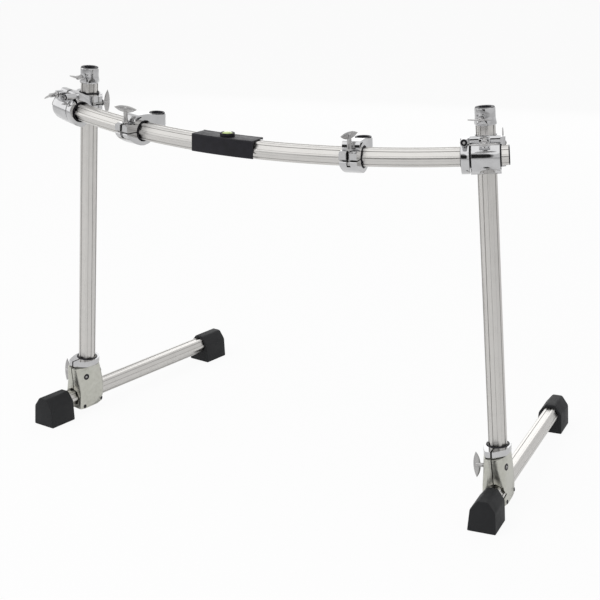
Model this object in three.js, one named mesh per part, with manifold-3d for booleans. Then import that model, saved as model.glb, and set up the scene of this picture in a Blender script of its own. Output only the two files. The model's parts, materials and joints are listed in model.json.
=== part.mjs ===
// A drum rack frame: a bent hexagonal bar held at each end by a T-clamp on a leaning post, and each
// post held in a split base on a floor bar with two rubber feet. Two multi clamps ride on the bar.
// Millimetres and degrees, +Z up, +X along the bar, +Y from the front of the rack to its rear.
import * as THREE from "three";
import { mergeVertices } from "three/addons/utils/BufferGeometryUtils.js";
import Module from "manifold-3d";

const wasm = await Module();
wasm.setup();

// Layout of the rack
const BAR_RADIUS = 1453; // bend of the bar's axis
const BAR_TILT = 13.27; // lean of the bend's plane, which makes the middle of the bar its lowest place
const BAR_HEIGHT = 765.5; // axis of the bar above the floor, at the middle
const BAR_OVERHANG = 46; // bar past the centre of each T-clamp
const CLAMP_ANGLE = 21.05; // turn along the bend from the middle to a T-clamp
const MULTI_ANGLES = { left: -11.1, right: 10.5 }; // places of the multi clamps along the bend
const BADGE_ANGLE = -1.2; // place of the badge cover along the bend
const POST_OFFSET = 52; // axis of the bar to axis of the post
const TOE_IN = 6.73; // turn of each floor bar, rear ends towards each other
const FRONT_REACH = 151.2; // foot of the post to the outer face of the front foot
const REAR_REACH = 524.8; // foot of the post to the outer face of the rear foot

// Fits
const FIT = 0.3; // clearance between neighbours
const RING_FIT = 0.5; // clearance of a ring that turns on its bush
const BEND_FIT = 0.8; // clearance of a bush that slides on the bent bar
const OVERRUN = 1; // how far a cutting shape runs past the surface it opens

// Hexagonal tube
const TUBE_FLATS = 38;
const TUBE_WALL = 3;
const TUBE_CORNER = 7; // radius of the rounded corners
const GROOVE_WIDTH = 11;
const GROOVE_FLOOR = 9; // width at the bottom of the groove
const GROOVE_DEPTH = 1.3;

// Rings
const BUSH_RADIUS = 23.5; // outside of the round bush that carries a hexagonal tube
const RING_RADIUS = 29.5; // outside of a clamp's half rings

// Clamp bolts and nuts
const PIN_RADIUS = 2.5;
const BOLT_RADIUS = 3;
const EYE_RADIUS = 5.4;
const EYE_WIDTH = 7;
const NUT_RADIUS = 7.5; // seat of a wing nut
const NUT_SEAT = 3; // height of the seat
const STEM_RADIUS = 4.8;
const WING_SPAN = 58;
const WING_WIDTH = 15;
const WING_THICK = 3.6;
const NECK_SHARE = 0.8; // how far the neck runs up the wing, as a share of its width
const KNUCKLE_RADIUS = 6.3;
const KNUCKLE_HALF = 9.5; // half the length of a jaw's middle knuckle
const EYE_ROOM = 1; // space round a bolt's eye in its slot
const LEG_BOLT_RADIUS = 3.5; // wing bolts of the holders and of the bases

// Roundings of the castings
const EDGE_ROUND = 2;
const CORNER_ROUND = 4;
const FLANK_ROUND = 8;
const SWEEP_ROUND = 14;

const FACETS = 16; // sides of a clamp bore
const SMALL_FACETS = 8; // sides of a bolt
const NUT_FACETS = 10; // sides of a nut or a knuckle

const rad = THREE.MathUtils.degToRad;

// Plane outlines

function polygon(points) {
  return new THREE.Shape(points.map(([u, v]) => new THREE.Vector2(u, v)));
}

function circle(radius, u = 0, v = 0) {
  const shape = new THREE.Shape();
  shape.absarc(u, v, radius, 0, 2 * Math.PI, false);
  return shape;
}

function roundedRing(corners, stepsOf) {
  // corners are [u, v, radius], and each corner becomes a quadratic curve that starts a radius before it
  const points = [];
  corners.forEach(([u, v, radius], i) => {
    const here = new THREE.Vector2(u, v);
    const before = new THREE.Vector2(...corners.at(i - 1)).sub(here);
    const after = new THREE.Vector2(...corners[(i + 1) % corners.length]).sub(here);
    const start = here.clone().add(before.setLength(Math.min(radius, before.length() / 2)));
    const end = here.clone().add(after.setLength(Math.min(radius, after.length() / 2)));
    const bend = new THREE.QuadraticBezierCurve(start, here, end);
    points.push(...(radius > 0 ? bend.getPoints(stepsOf(radius)) : [here]));
  });
  return points;
}

function roundedPolygon(corners) {
  // a narrow rounding is one cut across the corner, a wider one has two
  return new THREE.Shape(roundedRing(corners, (radius) => (radius > EDGE_ROUND ? 2 : 1)));
}

function scaled(shares, size) {
  return shares.map((row) => row.map((share) => share * size));
}

function hexagonRing(flats, corner, steps) {
  const points = [];
  const centre = (flats / 2 - corner) / Math.cos(rad(30));
  for (let side = 0; side < 6; side++) {
    const turn = rad(60 * side);
    for (let i = 0; i <= steps; i++) {
      const at = turn + rad(THREE.MathUtils.lerp(-30, 30, i / steps));
      const u = centre * Math.cos(turn) + corner * Math.cos(at);
      const v = centre * Math.sin(turn) + corner * Math.sin(at);
      points.push([u, v]);
    }
  }
  return points;
}

function hexagon(flats, corner) {
  // a regular hexagon with flats above and below, each rounded corner taken as one facet
  return polygon(hexagonRing(flats, corner, 1));
}

function turned(shape, degrees) {
  const turn = (p) => p.clone().rotateAround(new THREE.Vector2(), rad(degrees));
  const made = new THREE.Shape(shape.getPoints(1).map(turn));
  made.holes = shape.holes.map((hole) => new THREE.Path(hole.getPoints(1).map(turn)));
  return made;
}

function tubeShape() {
  // the hexagon with a shallow groove along each flat, and a hexagonal bore
  const outer = hexagon(TUBE_FLATS, TUBE_CORNER).getPoints(1);
  const points = [];
  for (let side = 0; side < 6; side++) {
    points.push(...outer.slice(2 * side, 2 * side + 2));
    const turn = rad(60 * side + 30);
    const face = new THREE.Vector2(Math.cos(turn), Math.sin(turn));
    const along = new THREE.Vector2(-face.y, face.x);
    for (const [half, sunk] of [
      [-GROOVE_WIDTH / 2, 0],
      [-GROOVE_FLOOR / 2, GROOVE_DEPTH],
      [GROOVE_FLOOR / 2, GROOVE_DEPTH],
      [GROOVE_WIDTH / 2, 0],
    ]) {
      const reach = TUBE_FLATS / 2 - sunk;
      points.push(face.clone().multiplyScalar(reach).addScaledVector(along, half));
    }
  }
  const shape = new THREE.Shape(points);
  const bore = [];
  for (let side = 0; side < 6; side++) {
    bore.push(new THREE.Vector2((TUBE_FLATS / 2 - TUBE_WALL) / Math.cos(rad(30)), 0));
    bore[side].rotateAround(new THREE.Vector2(), rad(60 * side));
  }
  shape.holes.push(new THREE.Path(bore));
  return shape;
}

// Solids

const AXIS_TURNS = {
  x: new THREE.Matrix4().makeBasis(
    new THREE.Vector3(0, 1, 0),
    new THREE.Vector3(0, 0, 1),
    new THREE.Vector3(1, 0, 0),
  ),
  y: new THREE.Matrix4().makeBasis(
    new THREE.Vector3(0, 0, 1),
    new THREE.Vector3(1, 0, 0),
    new THREE.Vector3(0, 1, 0),
  ),
  z: new THREE.Matrix4(),
};

function solid(geometry) {
  const bare = geometry.clone();
  bare.deleteAttribute("normal");
  bare.deleteAttribute("uv");
  const merged = mergeVertices(bare, 1e-4);
  // a triangle with two corners in one place has no area, and its neighbours already meet there
  const corners = [];
  const { array } = merged.index;
  for (let i = 0; i < array.length; i += 3) {
    const [a, b, c] = array.subarray(i, i + 3);
    if (a !== b && b !== c && c !== a) corners.push(a, b, c);
  }
  return new wasm.Manifold(
    new wasm.Mesh({
      numProp: 3,
      vertProperties: merged.attributes.position.array,
      triVerts: new Uint32Array(corners),
    }),
  );
}

function prismGeometry(axis, shape, from, to, curveSegments = 4) {
  // an outline carried along an axis: drawn in y,z for x, in z,x for y and in x,y for z
  const geometry = new THREE.ExtrudeGeometry(shape, {
    depth: to - from,
    bevelEnabled: false,
    curveSegments,
  });
  geometry.translate(0, 0, from);
  geometry.applyMatrix4(AXIS_TURNS[axis]);
  return geometry;
}

function prism(axis, shape, from, to, curveSegments = 4) {
  return solid(prismGeometry(axis, shape, from, to, curveSegments));
}

function placedSolid(geometry, matrix, lift) {
  geometry.translate(0, 0, lift);
  geometry.applyMatrix4(matrix);
  return solid(geometry);
}

function rod(axis, radius, from, to, u = 0, v = 0, sides = SMALL_FACETS) {
  return prism(axis, circle(radius, u, v), from, to, sides / 2);
}

function join(first, ...others) {
  return others.reduce((sum, other) => sum.add(other), first);
}

function cut(first, ...others) {
  return others.reduce((rest, other) => rest.subtract(other), first);
}

function geometryOf(body) {
  const made = body.getMesh();
  const geometry = new THREE.BufferGeometry();
  const points = new Float32Array(made.numVert * 3);
  for (let i = 0; i < made.numVert; i++) {
    points.set(made.vertProperties.subarray(i * made.numProp, i * made.numProp + 3), 3 * i);
  }
  geometry.setAttribute("position", new THREE.BufferAttribute(points, 3));
  geometry.setIndex(new THREE.BufferAttribute(made.triVerts, 1));
  geometry.computeVertexNormals();
  return geometry;
}

// Finishes
const FINISHES = {
  anodised: { color: 0xd9d7d2, roughness: 0.38, metalness: 0.9 },
  chrome: { color: 0xdcdcde, roughness: 0.12, metalness: 1 },
  satin: { color: 0xb9b8b2, roughness: 0.35, metalness: 0.95 },
  rubber: { color: 0x1b1c1d, roughness: 0.75, metalness: 0 },
  plastic: { color: 0x17171a, roughness: 0.45, metalness: 0 },
  lens: { color: 0xb5d64a, roughness: 0.1, metalness: 0 },
};

function piece(parent, name, body, finish) {
  const material = new THREE.MeshStandardMaterial(FINISHES[finish]);
  material.name = finish;
  const geometry = body.isBufferGeometry ? body : geometryOf(body);
  const mesh = new THREE.Mesh(geometry, material);
  mesh.name = name;
  parent.add(mesh);
  return mesh;
}

function group(parent, position = [0, 0, 0], turn = [0, 0, 0]) {
  const made = new THREE.Group();
  made.position.set(...position);
  made.rotation.set(...turn.map(rad));
  parent.add(made);
  return made;
}

// The bend of the bar

function alongBar(angle) {
  // place and level frame at a turn along the bend: ahead follows the bar, inward is level
  const turn = rad(angle);
  const tilt = rad(BAR_TILT);
  const drop = BAR_RADIUS * (1 - Math.cos(turn));
  const point = new THREE.Vector3(
    BAR_RADIUS * Math.sin(turn),
    drop * Math.cos(tilt),
    BAR_HEIGHT + drop * Math.sin(tilt),
  );
  const ahead = new THREE.Vector3(
    Math.cos(turn),
    Math.sin(turn) * Math.cos(tilt),
    Math.sin(turn) * Math.sin(tilt),
  );
  const inward = new THREE.Vector3(0, 0, 1).cross(ahead).normalize();
  const square = new THREE.Vector3().crossVectors(ahead, inward);
  return { point, ahead, inward, square };
}

class BarCurve extends THREE.Curve {
  constructor(from, to) {
    super();
    this.from = from;
    this.to = to;
  }
  getPoint(share) {
    return alongBar(THREE.MathUtils.lerp(this.from, this.to, share)).point;
  }
  computeFrenetFrames(segments) {
    const frames = { tangents: [], normals: [], binormals: [] };
    for (let i = 0; i <= segments; i++) {
      const here = alongBar(THREE.MathUtils.lerp(this.from, this.to, i / segments));
      frames.tangents.push(here.ahead);
      frames.normals.push(here.inward);
      frames.binormals.push(here.square);
    }
    return frames;
  }
}

function barGroup(parent, angle) {
  // x along the bar, y inward and level, z square to both
  const here = alongBar(angle);
  const made = new THREE.Group();
  const turn = new THREE.Matrix4().makeBasis(here.ahead, here.inward, here.square);
  made.position.copy(here.point);
  made.quaternion.setFromRotationMatrix(turn);
  parent.add(made);
  return made;
}

const degreesOf = (length) => THREE.MathUtils.radToDeg(length / BAR_RADIUS);

// Bar, end caps and badge cover

const BAR_STEPS = 16;
const BAR_END = CLAMP_ANGLE + degreesOf(BAR_OVERHANG); // turn along the bend to each end of the bar
const CAP_THICK = 2.4;
const CAP_PLUG = 12; // depth of the plug in the bore
const PLUG_CHAMFER = 1.2;

const BADGE_LENGTH = 152;
const BADGE_WALL = 2.4;
const BADGE_FRONT = 24; // bar axis to the front face
const BADGE_TOP = 22; // bar axis to the top face
const BADGE_DROP = 16.5; // bar axis to the lower edge of the front face
const BADGE_REAR = 20; // bar axis to the rear edge of the top
const BADGE_LIP = 3.4; // curled bead along the rear edge
const BADGE_EDGE = 3; // rounding between front and top
const BADGE_RIB = 10; // inner corner web, which keeps the cover square
const BADGE_STEPS = 3;
const BEAD_SHARES = [
  // corners of the bead, across and up, in shares of its size
  [-0.5, -0.4, 0],
  [0.5, -0.4, 0.4],
  [0.5, 0.3, 0.4],
  [-0.5, 0, 0],
];
const LEVEL_RADIUS = 16;
const LEVEL_RISE = 7; // rim of the level's cup above the cover
const LEVEL_RIM = 3.5; // wall of the cup
const LEVEL_DOME = 2.6; // lens above the rim
const LEVEL_SINK = 4; // depth of the lens seat below the rim
const DOME_STEPS = 3;

function curvedBar(parent) {
  const geometry = new THREE.ExtrudeGeometry(tubeShape(), {
    steps: BAR_STEPS,
    bevelEnabled: false,
    curveSegments: 1,
    extrudePath: new BarCurve(-BAR_END, BAR_END),
  });
  piece(parent, "curved_bar", solid(geometry), "anodised");
}

function barEndCap(parent, side, sign) {
  const seat = barGroup(parent, sign * (CLAMP_ANGLE + degreesOf(BAR_OVERHANG + FIT)));
  const bore = TUBE_FLATS - 2 * TUBE_WALL - 2 * BEND_FIT;
  const place = (depth) => sign * depth;
  const slab = (shape, ...depths) => {
    const places = depths.map(place);
    return prism("x", shape, Math.min(...places), Math.max(...places));
  };
  const plate = slab(hexagon(TUBE_FLATS, TUBE_CORNER), 0, CAP_THICK - PLUG_CHAMFER);
  const crown = slab(hexagon(TUBE_FLATS - PLUG_CHAMFER, TUBE_CORNER), 0, CAP_THICK);
  const plug = slab(hexagon(bore, TUBE_CORNER / 2), -CAP_PLUG, CAP_THICK / 2);
  const hollow = slab(hexagon(bore - 2 * CAP_THICK, TUBE_CORNER / 2), -CAP_PLUG - OVERRUN, -PLUG_CHAMFER);
  piece(seat, `bar_end_cap_${side}`, cut(join(plate, crown, plug), hollow), "plastic");
}

function badgeCover(parent) {
  // an angle section swept along the bend: front wall, top wall, bead at the rear edge
  const inner = TUBE_FLATS / 2 + FIT;
  const front = -BADGE_FRONT;
  const back = front + BADGE_WALL;
  const lower = -BADGE_DROP;
  const bead = scaled(BEAD_SHARES, BADGE_LIP);
  const shape = roundedPolygon([
    [front, lower, BADGE_WALL / 2],
    [back, lower, 0],
    [back, inner - BADGE_RIB, 0],
    [back + BADGE_RIB / 2, inner, 0],
    [BADGE_REAR - BADGE_LIP, inner, 0],
    ...bead.slice(0, 2).map(([y, z, round]) => [BADGE_REAR + y, inner + z, round]),
    ...bead.slice(2).map(([y, z, round]) => [BADGE_REAR + y, BADGE_TOP + z, round]),
    [front, BADGE_TOP, BADGE_EDGE],
  ]);
  const half = degreesOf(BADGE_LENGTH / 2);
  const sweep = new THREE.ExtrudeGeometry(shape, {
    steps: BADGE_STEPS,
    bevelEnabled: false,
    curveSegments: 3,
    extrudePath: new BarCurve(BADGE_ANGLE - half, BADGE_ANGLE + half),
  });
  const seat = barGroup(parent, BADGE_ANGLE);
  seat.updateMatrixWorld(true);
  sweep.applyMatrix4(seat.matrix.clone().invert());
  const rim = BADGE_TOP + LEVEL_RISE;
  const cup = new THREE.LatheGeometry(
    [
      [0, inner],
      [LEVEL_RADIUS, inner],
      [LEVEL_RADIUS, rim - LEVEL_RIM / 2],
      [LEVEL_RADIUS - LEVEL_RIM / 2, rim],
      [LEVEL_RADIUS - LEVEL_RIM, rim],
      [LEVEL_RADIUS - LEVEL_RIM, rim - LEVEL_SINK],
      [0, rim - LEVEL_SINK],
    ].map(([u, v]) => new THREE.Vector2(u, v)),
    FACETS,
  );
  cup.rotateX(rad(90));
  piece(seat, "badge_cover", join(solid(sweep), solid(cup)), "plastic");
  const radius = LEVEL_RADIUS - LEVEL_RIM - FIT;
  const dome = [[0, rim - LEVEL_SINK + FIT]];
  for (let i = 0; i < DOME_STEPS; i++) {
    const turn = rad((90 * i) / DOME_STEPS);
    dome.push([radius * Math.cos(turn), rim - LEVEL_SINK + FIT + (LEVEL_SINK + LEVEL_DOME) * Math.sin(turn)]);
  }
  dome.push([0, rim + LEVEL_DOME + FIT]);
  const lens = new THREE.LatheGeometry(dome.map(([u, v]) => new THREE.Vector2(u, v)), FACETS);
  lens.rotateX(rad(90));
  piece(seat, "level_lens", solid(lens), "lens");
}

// Bolts and wing nuts, along +Z from the pivot or the seat

const WING_SHARES = [0.12, 0.52, 0.5, 0.16, 0.45]; // heights of the wing's outline, in shares of its width

function wing(bottom, span, width) {
  // a pointed oval, drawn along the bolt and across it
  const [tip, shoulder, crown, chin, cheek] = WING_SHARES.map((share) => share * width);
  const half = span / 2;
  const middle = bottom + width / 2;
  const shape = new THREE.Shape();
  shape.moveTo(middle + tip, -half);
  shape.bezierCurveTo(middle + shoulder, -0.7 * half, middle + crown, -0.3 * half, middle + crown, 0);
  shape.bezierCurveTo(middle + crown, 0.3 * half, middle + shoulder, 0.7 * half, middle + tip, half);
  shape.quadraticCurveTo(middle, 1.04 * half, middle - chin, 0.92 * half);
  shape.bezierCurveTo(middle - cheek, 0.6 * half, middle - crown, 0.3 * half, middle - crown, 0);
  shape.bezierCurveTo(middle - crown, -0.3 * half, middle - cheek, -0.6 * half, middle - chin, -0.92 * half);
  shape.quadraticCurveTo(middle, -1.04 * half, middle + tip, -half);
  return shape;
}

function blade(bottom, span, width, thick) {
  return prism("y", wing(bottom, span, width), -thick / 2, thick / 2, 3);
}

function swingBolt(length) {
  const eye = rod("x", EYE_RADIUS, -EYE_WIDTH / 2, EYE_WIDTH / 2);
  const shank = rod("z", BOLT_RADIUS, 0, length);
  const hole = rod("x", PIN_RADIUS + FIT, -EYE_WIDTH, EYE_WIDTH);
  return cut(join(eye, shank), hole);
}

function wingNut(stem, bore) {
  const seat = rod("z", NUT_RADIUS, 0, NUT_SEAT, 0, 0, NUT_FACETS);
  const neck = rod("z", STEM_RADIUS, 0, stem + NECK_SHARE * WING_WIDTH, 0, 0, NUT_FACETS);
  const thread = rod("z", BOLT_RADIUS + FIT, -OVERRUN, bore);
  return cut(join(seat, neck, blade(stem, WING_SPAN, WING_WIDTH, WING_THICK)), thread);
}

function clampBolt(parent, names, place, sizes) {
  // a swing bolt hinged on its own x axis, with its wing nut seated a distance along its z axis
  const { seat, stem, twist } = sizes;
  const hinge = group(parent, place.at, place.turn);
  const tip = seat + stem;
  const bolt = piece(hinge, names.bolt, swingBolt(tip), "chrome");
  bolt.userData = { pivot: [0, 0, 0], axis: [1, 0, 0] };
  const nutGroup = group(hinge, [0, 0, seat + FIT], [0, 0, twist]);
  const nut = piece(nutGroup, names.nut, wingNut(stem, stem + FIT), "chrome");
  nut.userData = { pivot: [0, 0, 0], axis: [0, 0, 1] };
}

// Bushes

function bush(axis, from, to, bore) {
  return cut(rod(axis, BUSH_RADIUS, from, to, 0, 0, FACETS), bore);
}

// Multi clamp: x along the bar, y to the rear, z up

const MULTI_HALF = 19; // half the width of the clamp along the bar
const MULTI_RING = 32.5; // outside of the ring
const MULTI_SPLIT = 2.2; // gap between the jaws at the front
const MULTI_HINGE = { y: 33, z: -9 };
const MULTI_PIVOT = { y: -40, z: -7 }; // pin of the swing bolt
const MULTI_SEAT = 27; // pin to the top of the lug, under the wing nut
const MULTI_STEM = 23.5;
const MULTI_TWISTS = { left: 15, right: 71 }; // turn of each wing nut from the line of the bar
const MULTI_TOP = 36.5; // top of the arm
const MULTI_LUG = { front: -53, back: -27 };
const MULTI_LIP = 7; // depth of the jaw's front edge
const MULTI_EAR = 11; // metal under the pin of the swing bolt
const MULTI_POCKET = 6.5; // depth of the hollow beside the web, from each face
const MULTI_FLANGE = 4; // walls round that hollow
const MULTI_JAW_SHARES = [
  // the jaw's underside from the lug to the hinge: y, z and rounding, in shares of the ring's radius
  [-0.62, -0.9, 0.43],
  [0, -1.06, 0.49],
  [0.72, -0.86, 0.43],
];
const SOCKET_AT = 57; // bar axis to socket axis
const SOCKET_RADIUS = 20;
const SOCKET_TOP = 29;
const SOCKET_FOOT = -16;
const SOCKET_BUSH = 17.4; // outside of the socket's liner
const SOCKET_BORE = 12.75; // radius of the hole for a 25.4 mm tube
const SOCKET_FLANGE = 2; // liner above the socket's rim
const SOCKET_FLOOR = 4; // liner's seat above the socket's lower edge
const SET_SCREW = { radius: 2.6, z: -3 };

function multiClamp(root, side) {
  const seat = barGroup(root, MULTI_ANGLES[side]);
  const name = (part) => `multi_clamp_${side}_${part}`;
  const half = MULTI_HALF;
  const bore = rod("x", BUSH_RADIUS + RING_FIT, -half - OVERRUN, half + OVERRUN, 0, 0, FACETS);
  const slotHalf = EYE_WIDTH / 2 + FIT;
  const slotBack = MULTI_PIVOT.y + EYE_RADIUS + EYE_ROOM;
  const slotFront = MULTI_LUG.front - OVERRUN;
  const knuckle = (radius, from, to) =>
    rod("x", radius, from, to, MULTI_HINGE.y, MULTI_HINGE.z, NUT_FACETS);
  const slot = (from, to) => {
    const shape = polygon([[slotFront, from], [slotBack, from], [slotBack, to], [slotFront, to]]);
    return prism("x", shape, -slotHalf, slotHalf);
  };

  // lower jaw: half ring with a lug at the front and one knuckle at the rear
  const lower = -MULTI_SPLIT / 2;
  const jawEnd = MULTI_HINGE.y - KNUCKLE_RADIUS - 2 * FIT;
  const jawOutline = roundedPolygon([
    [MULTI_LUG.front, lower, EDGE_ROUND],
    [MULTI_LUG.front + EDGE_ROUND, lower - MULTI_LIP, CORNER_ROUND],
    [MULTI_PIVOT.y, MULTI_PIVOT.z - MULTI_EAR, FLANK_ROUND],
    ...scaled(MULTI_JAW_SHARES, MULTI_RING),
    [MULTI_HINGE.y, MULTI_HINGE.z - KNUCKLE_RADIUS, EDGE_ROUND],
    [MULTI_HINGE.y, MULTI_HINGE.z, 0],
    [jawEnd, MULTI_HINGE.z, 0],
    [0, lower, 0],
  ]);
  const jawBlank = cut(
    prism("x", jawOutline, -half, half),
    knuckle(KNUCKLE_RADIUS + 2 * FIT, -half - OVERRUN, -KNUCKLE_HALF),
    knuckle(KNUCKLE_RADIUS + 2 * FIT, KNUCKLE_HALF, half + OVERRUN),
  );
  const jawOpen = cut(
    join(jawBlank, knuckle(KNUCKLE_RADIUS, -KNUCKLE_HALF, KNUCKLE_HALF)),
    bore,
    slot(MULTI_PIVOT.z - EYE_RADIUS - EYE_ROOM, OVERRUN),
    knuckle(PIN_RADIUS + FIT, -half, half),
  );
  const boltPin = rod("x", PIN_RADIUS, -slotHalf - OVERRUN, slotHalf + OVERRUN, MULTI_PIVOT.y, MULTI_PIVOT.z);
  const jaw = piece(seat, name("jaw"), join(jawOpen, boltPin), "chrome");
  jaw.userData = { pivot: [0, MULTI_HINGE.y, MULTI_HINGE.z], axis: [1, 0, 0] };

  // body: half ring, crowned lug, arm with a hollow on each side of its web, and upright socket
  const upper = MULTI_SPLIT / 2;
  const crown = (y) => MULTI_PIVOT.z + Math.sqrt((MULTI_SEAT - FIT) ** 2 - (y - MULTI_PIVOT.y) ** 2);
  const lugTop = [];
  for (let i = 0; i <= 3; i++) {
    const y = THREE.MathUtils.lerp(MULTI_LUG.back, MULTI_LUG.front, i / 3);
    lugTop.push([y, crown(y), 0]);
  }
  const webFront = MULTI_PIVOT.y + NUT_RADIUS + EDGE_ROUND;
  const bodyOutline = roundedPolygon([
    [MULTI_LUG.front, upper, EDGE_ROUND],
    [0, upper, 0],
    [MULTI_HINGE.y - KNUCKLE_RADIUS, MULTI_HINGE.z + MULTI_SPLIT, 0],
    [MULTI_HINGE.y - KNUCKLE_RADIUS, MULTI_HINGE.z, 0],
    [MULTI_HINGE.y + KNUCKLE_RADIUS, MULTI_HINGE.z, 0],
    [SOCKET_AT, MULTI_HINGE.z + KNUCKLE_RADIUS, 0],
    [SOCKET_AT, SOCKET_TOP, 0],
    [SOCKET_AT - SOCKET_RADIUS, SOCKET_TOP + EDGE_ROUND, FLANK_ROUND],
    [0.3 * MULTI_RING, MULTI_TOP + OVERRUN, SWEEP_ROUND],
    [webFront + CORNER_ROUND, MULTI_TOP, CORNER_ROUND],
    [webFront, 0.6 * MULTI_TOP, CORNER_ROUND],
    ...lugTop,
  ]);
  const pocketOutline = roundedPolygon([
    [webFront + MULTI_FLANGE, 0.62 * MULTI_TOP, EDGE_ROUND],
    [webFront + MULTI_FLANGE, MULTI_TOP - MULTI_FLANGE, CORNER_ROUND],
    [-0.18 * MULTI_RING, MULTI_TOP - MULTI_FLANGE, EDGE_ROUND],
    [-0.7 * MULTI_RING, 0.78 * MULTI_RING, FLANK_ROUND],
  ]);
  const blank = join(
    prism("x", bodyOutline, -half, half),
    rod("z", SOCKET_RADIUS, SOCKET_FOOT, SOCKET_TOP, 0, SOCKET_AT, FACETS),
    knuckle(KNUCKLE_RADIUS, -half, -KNUCKLE_HALF - FIT),
    knuckle(KNUCKLE_RADIUS, KNUCKLE_HALF + FIT, half),
  );
  const open = cut(
    blank,
    bore,
    slot(0, MULTI_SEAT),
    prism("x", pocketOutline, -half - OVERRUN, -half + MULTI_POCKET),
    prism("x", pocketOutline, half - MULTI_POCKET, half + OVERRUN),
    knuckle(KNUCKLE_RADIUS + 2 * FIT, -KNUCKLE_HALF - FIT, KNUCKLE_HALF + FIT),
    rod("z", SOCKET_BORE + FIT, SOCKET_FOOT - OVERRUN, SOCKET_TOP, 0, SOCKET_AT, FACETS),
    rod("z", SOCKET_BUSH + FIT, SOCKET_FOOT + SOCKET_FLOOR, MULTI_TOP, 0, SOCKET_AT, FACETS),
    rod("x", SET_SCREW.radius, 0, SOCKET_RADIUS + OVERRUN, SOCKET_AT, SET_SCREW.z),
  );
  const hingePin = knuckle(PIN_RADIUS, -KNUCKLE_HALF - OVERRUN, KNUCKLE_HALF + OVERRUN);
  const body = piece(seat, name("body"), join(open, hingePin), "chrome");
  body.userData = { pivot: [0, 0, 0], axis: [1, 0, 0] };

  // liners of the ring and of the socket
  const barBore = prism("x", hexagon(TUBE_FLATS + 2 * BEND_FIT, TUBE_CORNER), -2 * half, 2 * half, 1);
  const bushHalf = half + OVERRUN;
  const barBush = piece(seat, name("bar_bush"), bush("x", -bushHalf, bushHalf, barBore), "plastic");
  barBush.userData = { bend: true };
  const linerFoot = SOCKET_FOOT + SOCKET_FLOOR + FIT;
  const liner = rod("z", SOCKET_BUSH, linerFoot, SOCKET_TOP + SOCKET_FLANGE, 0, SOCKET_AT, FACETS);
  const hole = rod("z", SOCKET_BORE, SOCKET_FOOT, SOCKET_TOP + 2 * SOCKET_FLANGE, 0, SOCKET_AT, FACETS);
  piece(seat, name("socket_bush"), cut(liner, hole), "plastic");

  clampBolt(
    seat,
    { bolt: name("swing_bolt"), nut: name("wing_nut") },
    { at: [0, MULTI_PIVOT.y, MULTI_PIVOT.z], turn: [0, 0, 0] },
    { seat: MULTI_SEAT, stem: MULTI_STEM, twist: MULTI_TWISTS[side] },
  );
}

// T-clamp: x along the bar, y to the rear, z up along the post

const TEE_FROM = -30; // ends of the body along the bar
const TEE_TO = 31;
const TEE_JAW = { from: -27.5, to: 29.5 };
const TEE_HALF = 31; // half the height round the post
const TEE_GAP = 0.8; // half the gap at each split
const TEE_HINGE = { y: 4, z: -32 }; // pin of the bar jaw
const TEE_PIVOT = 34; // pin of the bar bolt above the bar axis
const TEE_BOSS = 8; // ears round that pin
const TEE_EAR_RISE = 3; // ears above the body where they meet it
const TEE_SEAT = 36; // pin to the nut's seat on the bar jaw
const TEE_STEM = 9;
const TEE_TWISTS = { left: 27, right: 0 };
const TEE_LUG_HALF = 11;
const TEE_JAW_SHARES = [
  // the jaw's front from the lug to the hinge: y, z and rounding, in shares of the ring's radius
  [-0.62, 0.86, 0.14],
  [-0.99, 0.62, 0.17],
  [-1.03, -0.1, 0.24],
  [-0.95, -0.5, 0.17],
  [-0.66, -0.86, 0.2],
  [-0.3, -1.08, 0.2],
];
const POST_HINGE = { x: -33, y: -2 }; // pin of the post jaw, from the post axis
const POST_PIVOT = { x: 33.5, y: -9, z: 12 }; // pin of the post bolt, from the post axis
const POST_SEAT = 22.3;
const POST_STEM = 6;
const POST_JAW_HALF = 28.5;
const POST_LUG = 39.5; // outer side of the lugs, from the post axis
const POST_JAW_SHARES = [
  // the jaw's rear from the lug to the hinge: x, y and rounding, in shares of the ring's radius
  [0.68, 0.76, 0.14],
  [0.4, 1, 0.3],
  [-0.4, 1, 0.4],
  [-0.9, 0.62, 0.34],
];
const POST_BODY_SHARES = [
  // the body's front, from the hinge to the lug, in the same shares
  [-0.9, -0.66, 0.2],
  [-0.66, -1, 0.2],
  [0.8, -1, 0.14],
];

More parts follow.
